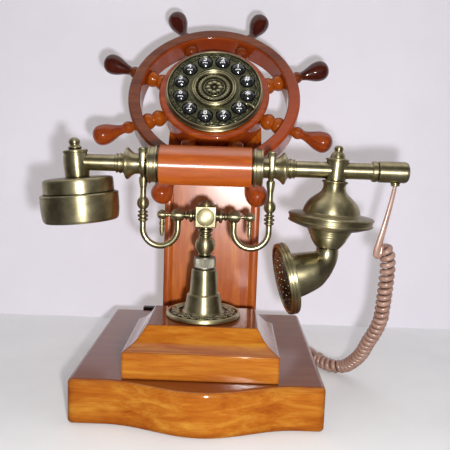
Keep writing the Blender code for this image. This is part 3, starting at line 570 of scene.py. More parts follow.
def skin(name, rings, place, material):
    """Faces between rings of points, closed with a face at both ends."""
    levels, count = rings.shape[:2]
    polygons = [tuple(range(count)), tuple(range((levels - 1) * count, levels * count))]
    for low in range(0, (levels - 1) * count, count):
        high = low + count
        polygons += [(low + i, low + (i + 1) % count, high + (i + 1) % count, high + i)
                     for i in range(count)]
    piece = make(name, rings.reshape(-1, 3), polygons, place, material)
    outward(piece)
    return piece


def loft(name, rings, place, material):
    """A skin whose flat faces look flat."""
    return even_normals(skin(name, np.asarray(rings, float), place, material))


def outward(piece):
    """Turns all faces to look outwards."""
    shell = bmesh.new()
    shell.from_mesh(piece.data)
    bmesh.ops.recalc_face_normals(shell, faces=shell.faces)
    shell.to_mesh(piece.data)
    shell.free()


def spline(knots, cuts):
    """Points of a smooth curve through the knots (Catmull-Rom); knots may have any number of values."""
    knots = np.asarray(knots, float)
    padded = np.vstack([2 * knots[0] - knots[1], knots, 2 * knots[-1] - knots[-2]])
    out = []
    for a, b, c, d in zip(padded, padded[1:], padded[2:], padded[3:]):
        for k in range(cuts):
            t = k / cuts
            out.append(0.5 * (2 * b + (c - a) * t + (2 * a - 5 * b + 4 * c - d) * t * t
                              + (3 * b - 3 * c + d - a) * t ** 3))
    return np.array(out + [knots[-1]])


def travelling_frames(path):
    """Unit tangents and two cross directions along a path, turning as little as they can."""
    along = np.gradient(path, axis=0)
    along /= np.linalg.norm(along, axis=1, keepdims=True)
    side = np.zeros_like(path)
    start = np.array((0.0, 1.0, 0.0)) if abs(along[0][1]) < 0.9 else np.array((1.0, 0.0, 0.0))
    for i, t in enumerate(along):
        start = start - t * (start @ t)
        start /= np.linalg.norm(start)
        side[i] = start
    return along, side, np.cross(along, side)


def sweep(name, path, wide, place, material, sides=12, thick=None):
    """A round or oval section swept along a path, with rounded ends."""
    path = np.asarray(path, float)
    along, side, other = travelling_frames(path)
    wide = np.broadcast_to(np.asarray(wide, float), len(path)).copy()
    thick = wide if thick is None else np.broadcast_to(np.asarray(thick, float), len(path)).copy()
    angle = np.arange(sides) * TAU / sides
    rings = (path[:, None, :] + (wide[:, None] * np.cos(angle))[:, :, None] * side[:, None, :]
             + (thick[:, None] * np.sin(angle))[:, :, None] * other[:, None, :])
    caps = []
    for end, sign in ((0, -1), (-1, 1)):
        cap = []
        for share in (0.92, 0.7, 0.38):
            out = path[end] + sign * along[end] * thick[end] * math.sqrt(1 - share * share)
            cap.append(out + (rings[end] - path[end]) * share)
        caps.append(cap)
    rings = np.vstack([np.array(caps[0][::-1]), rings, np.array(caps[1])])
    return skin(name, rings, place, material)


def carve(piece, cutter):
    """Cuts the cutter's shape out of the piece for good."""
    step = piece.modifiers.new("carve", "BOOLEAN")
    step.operation, step.solver, step.object = "DIFFERENCE", "EXACT", cutter
    return bake(piece, cutter)


def bake(piece, *used):
    """Makes the piece's modifiers part of its mesh, and removes the objects that they used."""
    bpy.context.view_layer.update()
    evaluated = piece.evaluated_get(bpy.context.evaluated_depsgraph_get())
    mesh = bpy.data.meshes.new_from_object(evaluated)
    piece.modifiers.clear()
    piece.data = mesh
    for other in used:
        bpy.data.objects.remove(other, do_unlink=True)
    return piece


def rounded_outline(corners, radii, cuts=8):
    """A plan outline with its corners rounded by arcs; a radius of 0 leaves the point."""
    points = [Vector(c) for c in corners]
    out = []
    for i, (corner, radius) in enumerate(zip(points, radii)):
        before, after = points[i - 1] - corner, points[(i + 1) % len(points)] - corner
        if radius == 0:
            out.append(tuple(corner))
            continue
        half = before.angle(after) / 2
        reach = radius / math.tan(half)
        middle = corner + (before.normalized() + after.normalized()).normalized() * radius / math.sin(half)
        start = corner + before.normalized() * reach - middle
        end = corner + after.normalized() * reach - middle
        bend = start.angle_signed(end)
        for k in range(cuts + 1):
            a = -bend * k / cuts
            out.append((middle.x + start.x * math.cos(a) - start.y * math.sin(a),
                        middle.y + start.x * math.sin(a) + start.y * math.cos(a)))
    return np.array(out)


def inset_outline(outline, inset):
    """The outline (anticlockwise) moved inwards along its own normals."""
    along = np.roll(outline, -1, 0) - np.roll(outline, 1, 0)
    along /= np.linalg.norm(along, axis=1, keepdims=True)
    inward = np.stack([-along[:, 1], along[:, 0]], 1)
    return outline + inward * inset


def stacked(outline, levels):
    """Rings of one outline at (inset, height) levels."""
    rings = []
    for inset, z in levels:
        ring = inset_outline(outline, inset)
        rings.append(np.column_stack([ring, np.full(len(ring), z)]))
    return rings


# ---- raised patterns ----
def bump_at(distance, width):
    """1 on a line, falling smoothly to 0 at width from it."""
    return np.cos(np.clip(np.abs(distance) / width, 0, 1) * math.pi / 2) ** 2


def running_scroll(across, around, repeats):
    """Height 0 to 1 of a leafy scroll; across runs 0 to 1 over the band, around is the angle."""
    cell = around * repeats / TAU
    phase = cell - np.floor(cell)
    flip = np.where(np.floor(cell) % 2 == 0, 1.0, -1.0)
    v = (across - 0.5) * flip
    u = phase - 0.5
    stem = bump_at(v + 0.30 * np.cos(math.pi * u) - 0.05, 0.13)
    d = np.sqrt(u * u * 1.5 + (v - 0.10) ** 2)
    curl = bump_at(d - 0.24 - 0.05 * np.cos(np.arctan2(v - 0.10, u) * 3), 0.11)
    eye = bump_at(d, 0.12)
    leaf = bump_at(v - 0.34 + 0.25 * np.abs(u), 0.09)
    return np.maximum.reduce([stem, curl, eye, leaf])


def band_relief(inner, outer, repeats, height):
    """A running scroll on the top of a flat band between two radii."""
    def relief(r, h, a):
        across = np.clip((r - inner) / (outer - inner), 0, 1)
        edge = np.clip(np.minimum(r - inner, outer - r) / 0.5, 0, 1)
        return height * running_scroll(across, a, repeats) * edge
    return relief


def rosette_relief(r, h, a):
    """A laurel ring round a small generic flower."""
    leaves = np.abs(np.sin(a * 14 + 2.4 * np.sin((r - 12.4) * 0.9)))
    wreath = bump_at(r - 12.4, 2.6) * (0.35 + 0.65 * leaves ** 1.5)
    inner_ring = bump_at(r - 8.9, 0.55)
    petals = bump_at(r - 5.2, 3.0) * (0.25 + 0.75 * np.abs(np.cos(a * 4)) ** 0.8)
    dots = bump_at(r - 7.6, 0.9) * np.clip(np.cos(a * 16), 0, 1)
    button = bump_at(r, 1.9)
    return 0.75 * np.maximum.reduce([wreath, 0.8 * inner_ring, petals, 0.7 * dots, button])


def medallion_relief(r, h, a):
    """The rosette, on the face of the disc only."""
    return np.where((h > 9.1) & (r < 14.6), rosette_relief(r, h, a), 0)


def knurl_relief(low, high):
    """Upright ridges round a nut between two heights."""
    def relief(r, h, a):
        inside = np.clip(np.minimum(h - low, high - h) / 0.25, 0, 1) * (r > 8.0)
        lines = np.abs(np.sin(a * 22)) * (0.7 + 0.3 * np.abs(np.sin(h * 2.0)))
        return 0.75 * inside * (lines - 0.5)
    return relief


# ---- base ----
BOW, BOW_HALF = 16.8, 70.0                          # the front edge bows out
BASE_EDGE, BASE_FOOT_EDGE, BASE_CORNER = 3.6, 2.4, 4.5
SLAB_WALL, SLAB_ROOF = 13.0, 24.0


def base_outline():
    """The slab from above, anticlockwise from its back left corner."""
    low, high = box_mm("base_slab")
    bow_x = centre_mm("base_slab").x + 3.9
    straight = low.y + BOW
    front = []
    count = 72
    for i in range(count + 1):
        x = bow_x - BOW_HALF + 2 * BOW_HALF * i / count
        front.append((x, straight - BOW * 0.5 * (1 + math.cos(math.pi * (x - bow_x) / BOW_HALF))))
    corners = [(low.x, high.y), (low.x, straight), *front, (high.x, straight), (high.x, high.y)]
    radii = [BASE_CORNER, BASE_CORNER, *[0] * len(front), BASE_CORNER, BASE_CORNER]
    return rounded_outline(corners, radii)


def build_base():
    """The hollow slab with rounded edges, and its four feet."""
    low, high = box_mm("base_slab")
    outline = base_outline()
    turn = [math.pi / 2 * k / 8 for k in range(9)]
    levels = [(BASE_FOOT_EDGE * (1 - math.sin(a)), low.z + BASE_FOOT_EDGE * (1 - math.cos(a))) for a in turn]
    levels += [(BASE_EDGE * (1 - math.cos(a)), high.z - BASE_EDGE * (1 - math.sin(a))) for a in turn]
    slab = loft("base_slab_wood", stacked(outline, levels), GROUND, "honey_x")
    slab.modifiers.clear()
    wall = inset_outline(outline, 3.0)
    lowest, highest = wall.min(0), wall.max(0)
    middle = (lowest + highest) / 2
    shrink = 1 - (SLAB_WALL - 3.0) / ((highest - lowest) / 2)
    hollow_plan = middle + (wall - middle) * shrink
    hollow = loft("slab_hollow", [np.column_stack([hollow_plan, np.full(len(wall), z)])
                                  for z in (low.z - 1, SLAB_ROOF)], GROUND, "honey_x")
    hollow.modifiers.clear()
    carve(slab, hollow)
    even_normals(slab)
    settle(slab, "base", "wood_honey", "base_slab")
    for number in (1, 2, 3, 4):
        node = f"rubber_foot_{number}"
        foot_low, foot_high = box_mm(node)
        spot = centre_mm(node)
        r = (foot_high.x - foot_low.x) / 2
        foot = lathe(node + "_moulded", ((0, foot_high.z), (r - 0.2, foot_high.z), (r, 1.0), (r - 0.8, 0.15),
                                         (r - 1.6, 0.0), (3.2, 0.0), (2.6, 0.5), (0, 0.5)),
                     placing((spot.x, spot.y, 0)), "rubber", 40, 0.25)
        settle(foot, "base", "rubber_black", node)


PLINTH_LEDGE_Z, PLINTH_CORNER, PLINTH_EDGE = 54.1, 0.9, 0.7
PLINTH_COVE = (            # inset and height of the hollow moulding, from its ledge up to its top edge
    (1.1, 54.2), (2.6, 55.0), (5.2, 56.6), (7.7, 58.6), (9.9, 60.9), (11.8, 63.3), (13.3, 65.6), (14.5, 67.6),
    (15.3, 68.9), (15.7, 69.4))


def build_plinth():
    """The small stepped block: a straight front, a ledge, and a cove up to the top."""
    low, high = box_mm("plinth")
    edge, lip, cove_depth = PLINTH_EDGE, PLINTH_LEDGE_Z - 0.4, PLINTH_COVE[-1][0]
    levels = [(edge, low.z), (0.2, low.z + 0.25), (0, low.z + edge), (0, lip - edge), (0.2, lip - 0.25),
              (edge, lip), *PLINTH_COVE, (cove_depth + 0.2, high.z - 0.2), (cove_depth + edge, high.z)]
    rings = []
    for inset, z in levels:
        left, right = low.x + inset, high.x - inset
        front, back = low.y + inset, high.y - inset
        ring = rounded_outline([(left, back), (left, front), (right, front), (right, back)],
                               [PLINTH_CORNER] * 4, 5)
        rings.append(np.column_stack([ring, np.full(len(ring), z)]))
    plinth = loft("plinth_wood", rings, GROUND, "honey_plinth")
    settle(plinth, "base", "wood_honey", "plinth")


def build_column():
    """Upright with a bead down each front edge; its top is cut to the wheel's tilt."""
    low, high = box_mm("column")
    back_of_housing = WHEEL_CENTRE + WHEEL_AXIS * (HOUSING_BACK - 0.3)
    slope = WHEEL_AXIS.y / -WHEEL_AXIS.z

    bead, quirk = 6.0, 0.9
    left = [(low.x, high.y), (low.x, low.y + 1.6)]
    for k in range(9):
        a = math.pi * (1 - k / 8)
        left.append((low.x + 0.4 + bead / 2 + bead / 2 * math.cos(a), low.y + 1.6 - 1.6 * math.sin(a)))
    left += [(low.x + 0.4 + bead + quirk * 0.5, low.y + 2.2), (low.x + 0.4 + bead + quirk, low.y + 1.0),
             (low.x + 0.4 + bead + quirk + 0.6, low.y + 0.6)]
    middle = (low.x + high.x) / 2
    right = [(2 * middle - x, y) for x, y in reversed(left)]
    plan = np.array(left + right)
    rings = []
    for z in (low.z, low.z + 1):
        rings.append(np.column_stack([plan, np.full(len(plan), z)]))
    top = np.array([back_of_housing.z + (y - back_of_housing.y) * slope for _, y in plan])
    rings.append(np.column_stack([plan, top - 1.0]))
    rings.append(np.column_stack([plan, top]))
    column = loft("column_wood", rings, GROUND, "rust_z")
    settle(column, "base", "wood_honey", "column")


# ---- wheel ----
SPOKES, SPOKE_FIRST = 8, math.radians(22.5)
TOP_SPOKES, UPPER_SPOKES = (0, 7), (1, 6)           # these four took the darkest stain
HOUSING_R, HOUSING_RIM_R, HOUSING_FRONT, HOUSING_BACK = 46.2, 48.8, 2.6, -24.5
DIAL_R, DIAL_FRONT = 42.1, 8.0
MEDALLION_R = 19.4
KEY_CIRCLE_R, KEY_R, KEY_TOP, KEY_FOOT = 30.1, 5.9, 11.8, 2.2
FIRST_KEY = math.radians(12.4)          # clockwise from the top
STOP_ANGLE = math.radians(120)          # the finger stop's place, also clockwise from the top
WELL_R = 6.8                            # the dished seat round each key
SPOKE_PROFILE = (          # radius, distance out from the wheel's axis
    (0.0, 112.6, SOFT), (3.4, 112.1, SOFT), (6.6, 110.2, SOFT), (8.7, 107.0, SOFT), (9.15, 103.0, SOFT),
    (8.2, 98.0, SOFT), (6.1, 92.8, SOFT), (4.6, 88.9, SOFT), (3.9, 85.6), (4.1, 84.6), (4.9, 83.2, SOFT),
    (5.5, 80.8, SOFT), (5.0, 78.2), (4.4, 77.6), (4.2, 76.8), (3.9, 76.0), (3.9, 65.9), (5.6, 65.6),
    (7.1, 63.9, SOFT), (7.3, 61.3, SOFT), (6.2, 58.5), (5.3, 57.6), (5.3, 57.0), (6.2, 56.1),
    (7.3, 53.5, SOFT), (7.1, 50.9, SOFT), (5.9, 48.5), (5.1, 47.6), (4.7, 46.6), (0.0, 46.6),
)


def spoke_placing(number):
    """z along a spoke, starting on the wheel's axis in the middle of its thickness."""
    angle = SPOKE_FIRST + number * TAU / SPOKES
    out = Matrix.Rotation(-angle, 4, "Z") @ Matrix.Rotation(-math.pi / 2, 4, "X")
    return shifted(WHEEL, z=-RING_T / 2) @ out


def spoke_finish(number):
    """Upper spokes have the darker stain; the top two also have their spools in painted shade."""
    if number in TOP_SPOKES:
        return "spoke_top"
    return "spoke_dark" if number in UPPER_SPOKES else "spoke_red"


def build_wheel():
    """The ring, its eight turned spokes and the round housing behind the dial."""
    edge = 1.3
    ring = lathe(
        "wheel_ring_wood",
        ((RING_R - edge, 0), (RING_R, -edge), (RING_R, edge - RING_T), (RING_R - edge, -RING_T),
         (RING_INNER_R + edge, -RING_T), (RING_INNER_R, edge - RING_T), (RING_INNER_R, -edge),
         (RING_INNER_R + edge, 0)),
        WHEEL, "cherry_ring", 180, 1.0)
    settle(ring, "base", "wood_red", "wheel_ring")
    for number in range(SPOKES):
        spoke = lathe(f"wheel_spoke_{number + 1}_wood", SPOKE_PROFILE, spoke_placing(number),
                      spoke_finish(number), 48, 0.3)
        settle(spoke, "base", "wood_red", f"wheel_spoke_{number + 1}")
    bore = DIAL_R + 0.5
    housing = lathe(
        "dial_housing_wood",
        ((bore + 0.4, HOUSING_FRONT), (HOUSING_RIM_R - 1.6, HOUSING_FRONT),
         (HOUSING_RIM_R - 0.5, HOUSING_FRONT - 0.7, SOFT), (HOUSING_RIM_R, HOUSING_FRONT - 2.2, SOFT),
         (HOUSING_RIM_R - 0.5, HOUSING_FRONT - 3.8, SOFT), (HOUSING_R + 0.9, HOUSING_FRONT - 4.8),
         (HOUSING_R + 0.5, HOUSING_FRONT - 5.6), (HOUSING_R, HOUSING_FRONT - 8.0), (HOUSING_R, HOUSING_BACK),
         (8.0, HOUSING_BACK), (8.0, -4.3), (bore, -4.3), (bore, HOUSING_FRONT - 0.4)),
        WHEEL, "housing", 144, 0.5)
    settle(housing, "base", "wood_red", "dial_housing")


# ---- dial ----
def key_angle(number):
    """A key's place round the dial, clockwise from the top."""
    return FIRST_KEY + TAU * number / len(KEY_NAMES)


def dial_relief(r, h, a):
    """Engraved border, a raised line inside it, and a well round each key."""
    on_face = (h > DIAL_FRONT - 0.2) & (r < DIAL_R - 1.6)
    border = 0.9 * running_scroll(np.clip((r - 35.4) / 4.9, 0, 1), a, 22)
    border = np.where(r > 35.4, border - 0.45, 0)
    line = 0.30 * bump_at(r - 22.3, 0.7) + 0.22 * bump_at(r - 36.3, 0.45)
    wells = np.zeros_like(r)
    clock = math.pi / 2 - a
    for number in range(len(KEY_NAMES)):
        spot = key_angle(number)
        d = np.sqrt((r * np.sin(clock) - KEY_CIRCLE_R * math.sin(spot)) ** 2
                    + (r * np.cos(clock) - KEY_CIRCLE_R * math.cos(spot)) ** 2)
        wells += -1.2 * np.clip((WELL_R - d) / 0.4, 0, 1) + 0.3 * bump_at(d - WELL_R - 0.4, 0.4)
    hammer = 0.05 * np.sin(r * 5.1 + 3 * np.sin(a * 31)) * np.sin(a * 97 + r)
    return np.where(on_face, border + line + wells + hammer, 0)


NUMERAL_SIZE, STAR_SIZE, NUMERAL_WEIGHT, NUMERAL_CUT = 7.0, 10.0, 0.17, 0.6
PRINT_HEIGHT, PRINT_DEPTH = 0.06, 0.4   # how far a figure stands above the dome and reaches into it


def key_height(distance):
    """Height of a key's dome at a distance from its axis."""
    return KEY_TOP - 3.0 * (distance / KEY_R) ** 2.4


def at_corner(radius, height, points):
    """Profile points that are given from a corner at this radius and height."""
    return tuple((radius + out, height + up, *soft) for out, up, *soft in points)


def build_dial():
    """Engraved plate, its rim, the middle medallion, the keys and the finger stop."""
    skirt = -2.8 - DIAL_FRONT           # how far the rim reaches down
    brass_turning(
        "dial_plate_brass",
        ((0, DIAL_FRONT), (DIAL_R - 1.9, DIAL_FRONT), (DIAL_R - 1.6, DIAL_FRONT - 0.3),
         (DIAL_R - 1.6, DIAL_FRONT - 1.5), (0, DIAL_FRONT - 1.5)),
        WHEEL, "base", "dial_plate", material="relief_dial", steps=540, fillet=0.25, relief=dial_relief,
        spacing=0.42)
    brass_turning(
        "dial_rim_brass",
        at_corner(DIAL_R, DIAL_FRONT, (
            (-1.5, -0.2), (-1.2, 0.4), (-0.5, 0.5, SOFT), (0, -0.2, SOFT), (-0.1, -1.2), (-1.2, -2.2),
            (-1.2, -3.6), (0.2, -3.8), (0.8, -4.4, SOFT), (0.8, -5.0), (0.3, -5.1), (0.3, skirt),
            (-3.0, skirt), (-3.0, -1.8), (-1.5, -1.8))),
        WHEEL, "base", steps=160, fillet=0.2)
    brass_turning(
        "dial_medallion_brass",
        ((15.8, 8.4), (16.2, 9.6), (16.7, 10.4, SOFT), (17.3, 10.3), (17.6, 9.6), (18.0, 9.5), (18.3, 10.2),
         (18.8, 10.5, SOFT), (MEDALLION_R, 9.8), (MEDALLION_R, DIAL_FRONT + 0.3), (15.8, DIAL_FRONT + 0.3)),
        WHEEL, "base", "dial_medallion", material="brass_bright", steps=120, fillet=0.15)
    brass_turning(
        "medallion_disc",
        ((0, 9.6), (14.6, 9.2), (14.9, 8.4), (15.6, 8.35), (15.6, 8.1), (0, 8.1)),
        WHEEL, "base", material="relief_medallion", steps=300, fillet=0.15, relief=medallion_relief,
        spacing=0.3)
    for number, key in enumerate(KEY_NAMES):
        spot = key_angle(number)
        place = shifted(WHEEL, KEY_CIRCLE_R * math.sin(spot), KEY_CIRCLE_R * math.cos(spot))
        dome = [(KEY_R * k / 7, key_height(KEY_R * k / 7), SOFT) for k in range(8)]
        cap = lathe(f"key_{key}_cap", (*dome, (KEY_R, 8.0), (KEY_R, 4.6), (KEY_R + 0.9, 4.6),
                                       (KEY_R + 0.9, KEY_FOOT), (0, KEY_FOOT)), place, "key", 40, 0.3)
        settle(cap, f"key_{key}", "key_black", f"key_{key}")
        build_numeral(key, place)
    build_finger_stop()


def build_numeral(key, place):
    """White figure on a key's dome, with three plain ticks under a digit, cut up so that it bends."""
    sign = {"hash": "#", "star": "*"}.get(key, key)
    curve = bpy.data.curves.new("numeral_" + key, "FONT")
    curve.body = sign
    curve.size = (STAR_SIZE if sign == "*" else NUMERAL_SIZE) * MM
    curve.align_x, curve.align_y = "CENTER", "CENTER"
    curve.offset = NUMERAL_WEIGHT * MM
    curve.extrude = 0.25 * MM
    curve.resolution_u = 4
    text = add_object("numeral_" + key, curve)
    bpy.context.view_layer.update()
    mesh = bpy.data.meshes.new_from_object(text.evaluated_get(bpy.context.evaluated_depsgraph_get()))
    bpy.data.objects.remove(text, do_unlink=True)
    shell = bmesh.new()
    shell.from_mesh(mesh)
    bmesh.ops.remove_doubles(shell, verts=shell.verts, dist=0.00001)
    middle = sum((v.co for v in shell.verts), Vector()) / len(shell.verts)
    lift = 1.25 if sign not in "#*" else 0.0
    for v in shell.verts:
        v.co.x -= middle.x
        v.co.y += lift * MM - middle.y
    if sign not in "#*":
        for tick in (-1, 0, 1):
            made = bmesh.ops.create_cube(shell, size=1.0)["verts"]
            for v in made:
                v.co = Vector((v.co.x * 1.2 + tick * 1.65, v.co.y * 0.85 - 2.75, v.co.z * 0.5)) * MM
    for step in range(-7, 8):
        for axis in (Vector((1, 0, 0)), Vector((0, 1, 0))):
            bmesh.ops.bisect_plane(shell, geom=shell.verts[:] + shell.edges[:] + shell.faces[:],
                                   plane_co=axis * step * NUMERAL_CUT * MM, plane_no=axis)
    for v in shell.verts:
        top = v.co.z > 0
        lift = PRINT_HEIGHT if top else -PRINT_DEPTH
        v.co.z = (key_height(math.hypot(v.co.x, v.co.y) / MM) + lift) * MM
    bmesh.ops.recalc_face_normals(shell, faces=shell.faces)
    shell.to_mesh(mesh)
    shell.free()
    mesh.materials.clear()
    mesh.materials.append(MATERIALS["ink"])
    settle(add_object(f"numeral_{key}", mesh, place), f"key_{key}", "key_black")


def build_finger_stop():
    """A small curved tongue from the dial's edge, at four o'clock."""
    angle = STOP_ANGLE
    path = spline([(r * math.sin(angle) + bend * math.cos(angle),
                    r * math.cos(angle) - bend * math.sin(angle), h)
                   for r, bend, h in ((41.0, 0.0, 8.4), (39.6, -0.3, 9.7), (37.0, -0.5, 9.9),
                                      (34.4, -0.3, 9.9), (32.3, 0.9, 9.8))], 6)
    stop = sweep("finger_stop_brass", path, np.linspace(1.5, 1.0, len(path)), WHEEL, "brass_cast", 14, 0.62)
    settle(stop, "base", "brass_antique", "finger_stop")


# ---- post and cradle ----
def build_post():
    """The fixed foot with its scroll band and knurled nut, and the stem that rises with the cradle."""
    low = box_mm("post_foot")[0].z
    brass_turning(
        "post_foot_brass",
        ((3.4, 107.0), (9.2, 107.0), (9.8, 106.3), (11.0, 88.6), (11.1, 88.0), (11.5, 87.6), (12.4, 87.4),
         (12.9, 86.7), (13.1, 85.0, SOFT), (14.0, 79.6, SOFT), (15.0, 75.4), (15.6, 74.3), (16.6, 73.2),
         (25.7, 72.0), (25.7, low), (7.6, low), (7.6, 100.0), (3.4, 100.0)),
        POST, "base", "post_foot", steps=144, fillet=0.4)
    brass_turning(
        "post_foot_rim",
        ((25.8, 71.6), (26.2, 72.9), (26.9, 73.7, SOFT), (28.1, 73.4, SOFT), (28.9, 72.3),
         (28.9, low + 0.7), (28.2, low), (25.8, low)),
        POST, "base", material="brass_bright", steps=144, fillet=0.4)
    brass_turning(
        "post_scroll_band",
        ((16.4, 72.2), (16.4, 73.5), (17.2, 73.5), (25.2, 72.4), (26.0, 72.2), (26.0, 71.2), (16.4, 71.2)),
        POST, "base", material="relief_flange", steps=480, fillet=0.2, spacing=0.45,
        relief=band_relief(16.9, 25.7, 22, 1.05))
    brass_turning(
        "knurled_nut_brass",
        ((3.4, 116.5), (7.7, 116.5), (8.3, 116.1), (8.3, 115.7), (8.25, 115.5), (8.25, 108.6), (8.3, 108.4),
         (8.3, 107.8), (7.7, 107.2), (3.4, 107.2)),
        POST, "base", "knurled_nut", material="nut", steps=264, fillet=0.2, spacing=0.45,
        relief=knurl_relief(108.5, 115.6))
    ball_z, ball_r = 125.6, 7.75
    ball = [(ball_r * math.cos(math.radians(a)), ball_z + ball_r * math.sin(math.radians(a)), SOFT)
            for a in (50, 35, 18, 0, -18, -35, -50)]
    brass_turning(
        "cradle_stem_brass",
        ((0, 139.3), (4.7, 139.3), (4.7, 138.2), (5.2, 137.9), (5.8, 137.2, SOFT), (5.8, 136.5, SOFT),
         (5.2, 135.9), (4.2, 135.6), (4.0, 134.9), (4.2, 134.2), (5.2, 133.9), (5.3, 133.1), (4.7, 132.5),
         *ball, (4.6, 119.2), (5.2, 118.7), (5.3, 118.0), (4.6, 117.3), (4.4, 116.9), (3.0, 116.7),
         (3.0, 94.0), (6.4, 93.2), (6.4, 91.6), (3.0, 91.6), (3.0, 40.0), (0, 40.0)),
        POST, "cradle", "cradle_stem")


CRADLE_Z = 147.7
NUT_X, HOOK_X, HOOK_BOTTOM, HOOK_ROD_R = 21.4, 48.3, 123.5, 2.35
END_BALL_X, END_BALL_R = 33.6, 3.8
BLOCK_HALF = 8.1
NECK_R, FORK_T = 7.65, 2.2
TIP_TAPER = (0.55, 0.78, 0.9, 0.97)     # width of the fork's strip over the last points before a tip


def cradle_placing(x, direction):
    """z along a direction, starting on the cross bar at x from the post."""
    return placing((POST_AT.x + x, POST_AT.y, CRADLE_Z), direction, (0, 0, 1) if direction[0] else (1, 0, 0))


def build_cross_block():
    """The square block on the stem, its bosses and cap, and the turned arms out to the hooks."""
    edge = 0.8
    side = BLOCK_HALF
    square = rounded_outline([(-side, side), (-side, -side), (side, -side), (side, side)], [1.0] * 4, 5)
    levels = [(edge, -side), (0.25, 0.25 - side), (0, edge - side), (0, side - edge), (0.25, side - 0.25),
              (edge, side)]
    block = loft("cross_block_brass", stacked(square, levels), beside_post(0, CRADLE_Z),
                 "brass_block")
    settle(block, "cradle", "brass_antique", "cross_block")
    dome = ((0, 11.2, SOFT), (3.2, 10.8, SOFT), (5.6, 9.5, SOFT), (6.8, 8.3), (7.0, 7.7), (6.9, 5.0),
            (0, 5.0))
    for sign, word in ((-1, "front"), (1, "back")):
        brass_turning(f"block_boss_{word}", dome,
                      cradle_placing(0, (0, sign, 0)), "cradle", material="brass_bright", steps=48,
                      fillet=0.25)
    brass_turning(
        "block_cap_brass",
        ((0, 12.0, SOFT), (3.0, 11.6, SOFT), (5.2, 10.4, SOFT), (6.3, 9.0), (6.6, 8.4), (6.6, 6.0),
         (0, 6.0)),
        beside_post(0, CRADLE_Z), "cradle", steps=48)
    arm_end = NUT_X - 5.3
    arm = ((0, arm_end), (2.6, arm_end), (2.6, 15.5), (3.3, 15.3), (3.7, 14.8, SOFT), (3.3, 14.2),
           (2.5, 14.0),
           (2.5, 12.9), (3.6, 12.7), (4.8, 12.3), (5.1, 11.5, SOFT), (5.0, 10.6), (4.4, 10.1), (3.4, 9.9),
           (3.4, 8.8), (4.4, 8.5), (4.4, 7.5), (0, 7.5))
    for sign, word in ((-1, "left"), (1, "right")):
        brass_turning(f"block_arm_{word}", arm,
                      cradle_placing(0, (sign, 0, 0)), "cradle", steps=40, fillet=0.2)


def fork_rings():
    """The yoke a neck lies in: a rounded strip bent into a U, with tips that curl outwards."""
    seat = NECK_R + 0.3 + FORK_T / 2
    rise = box_mm("hook_left")[1].z - HANDSET_AT.z
    arc = [(-seat * math.cos(math.radians(d)), -seat * math.sin(math.radians(d))) for d in range(0, 90, 9)]
    path = [(-seat - 1.5, rise - 0.9), (-seat - 1.0, rise - 2.2), (-seat - 0.3, rise - 4.2),
            (-seat, rise - 7),
            (-seat, 3)] + arc
    path += [(-y, z) for y, z in reversed(path)]
    fine = spline(path, 3)
    section = rounded_outline([(-1, 1), (-1, -1), (1, -1), (1, 1)], [0.9] * 4, 5)
    rings = []
    for i, (y, z) in enumerate(fine):
        before, after = fine[max(i - 1, 0)], fine[min(i + 1, len(fine) - 1)]
        along = Vector(after - before).normalized()
        across = Vector((along.y, -along.x)) * FORK_T / 2
        share = max(0.0, min(1.0, (z + seat) / (rise + seat)))
        half = 2.0 + 0.85 * share ** 1.4
        near_tip = min(i, len(fine) - 1 - i)
        if near_tip < len(TIP_TAPER):
            half *= TIP_TAPER[near_tip]
        rings.append([(half * u, y + across.x * v, z + across.y * v) for u, v in section])
    return rings


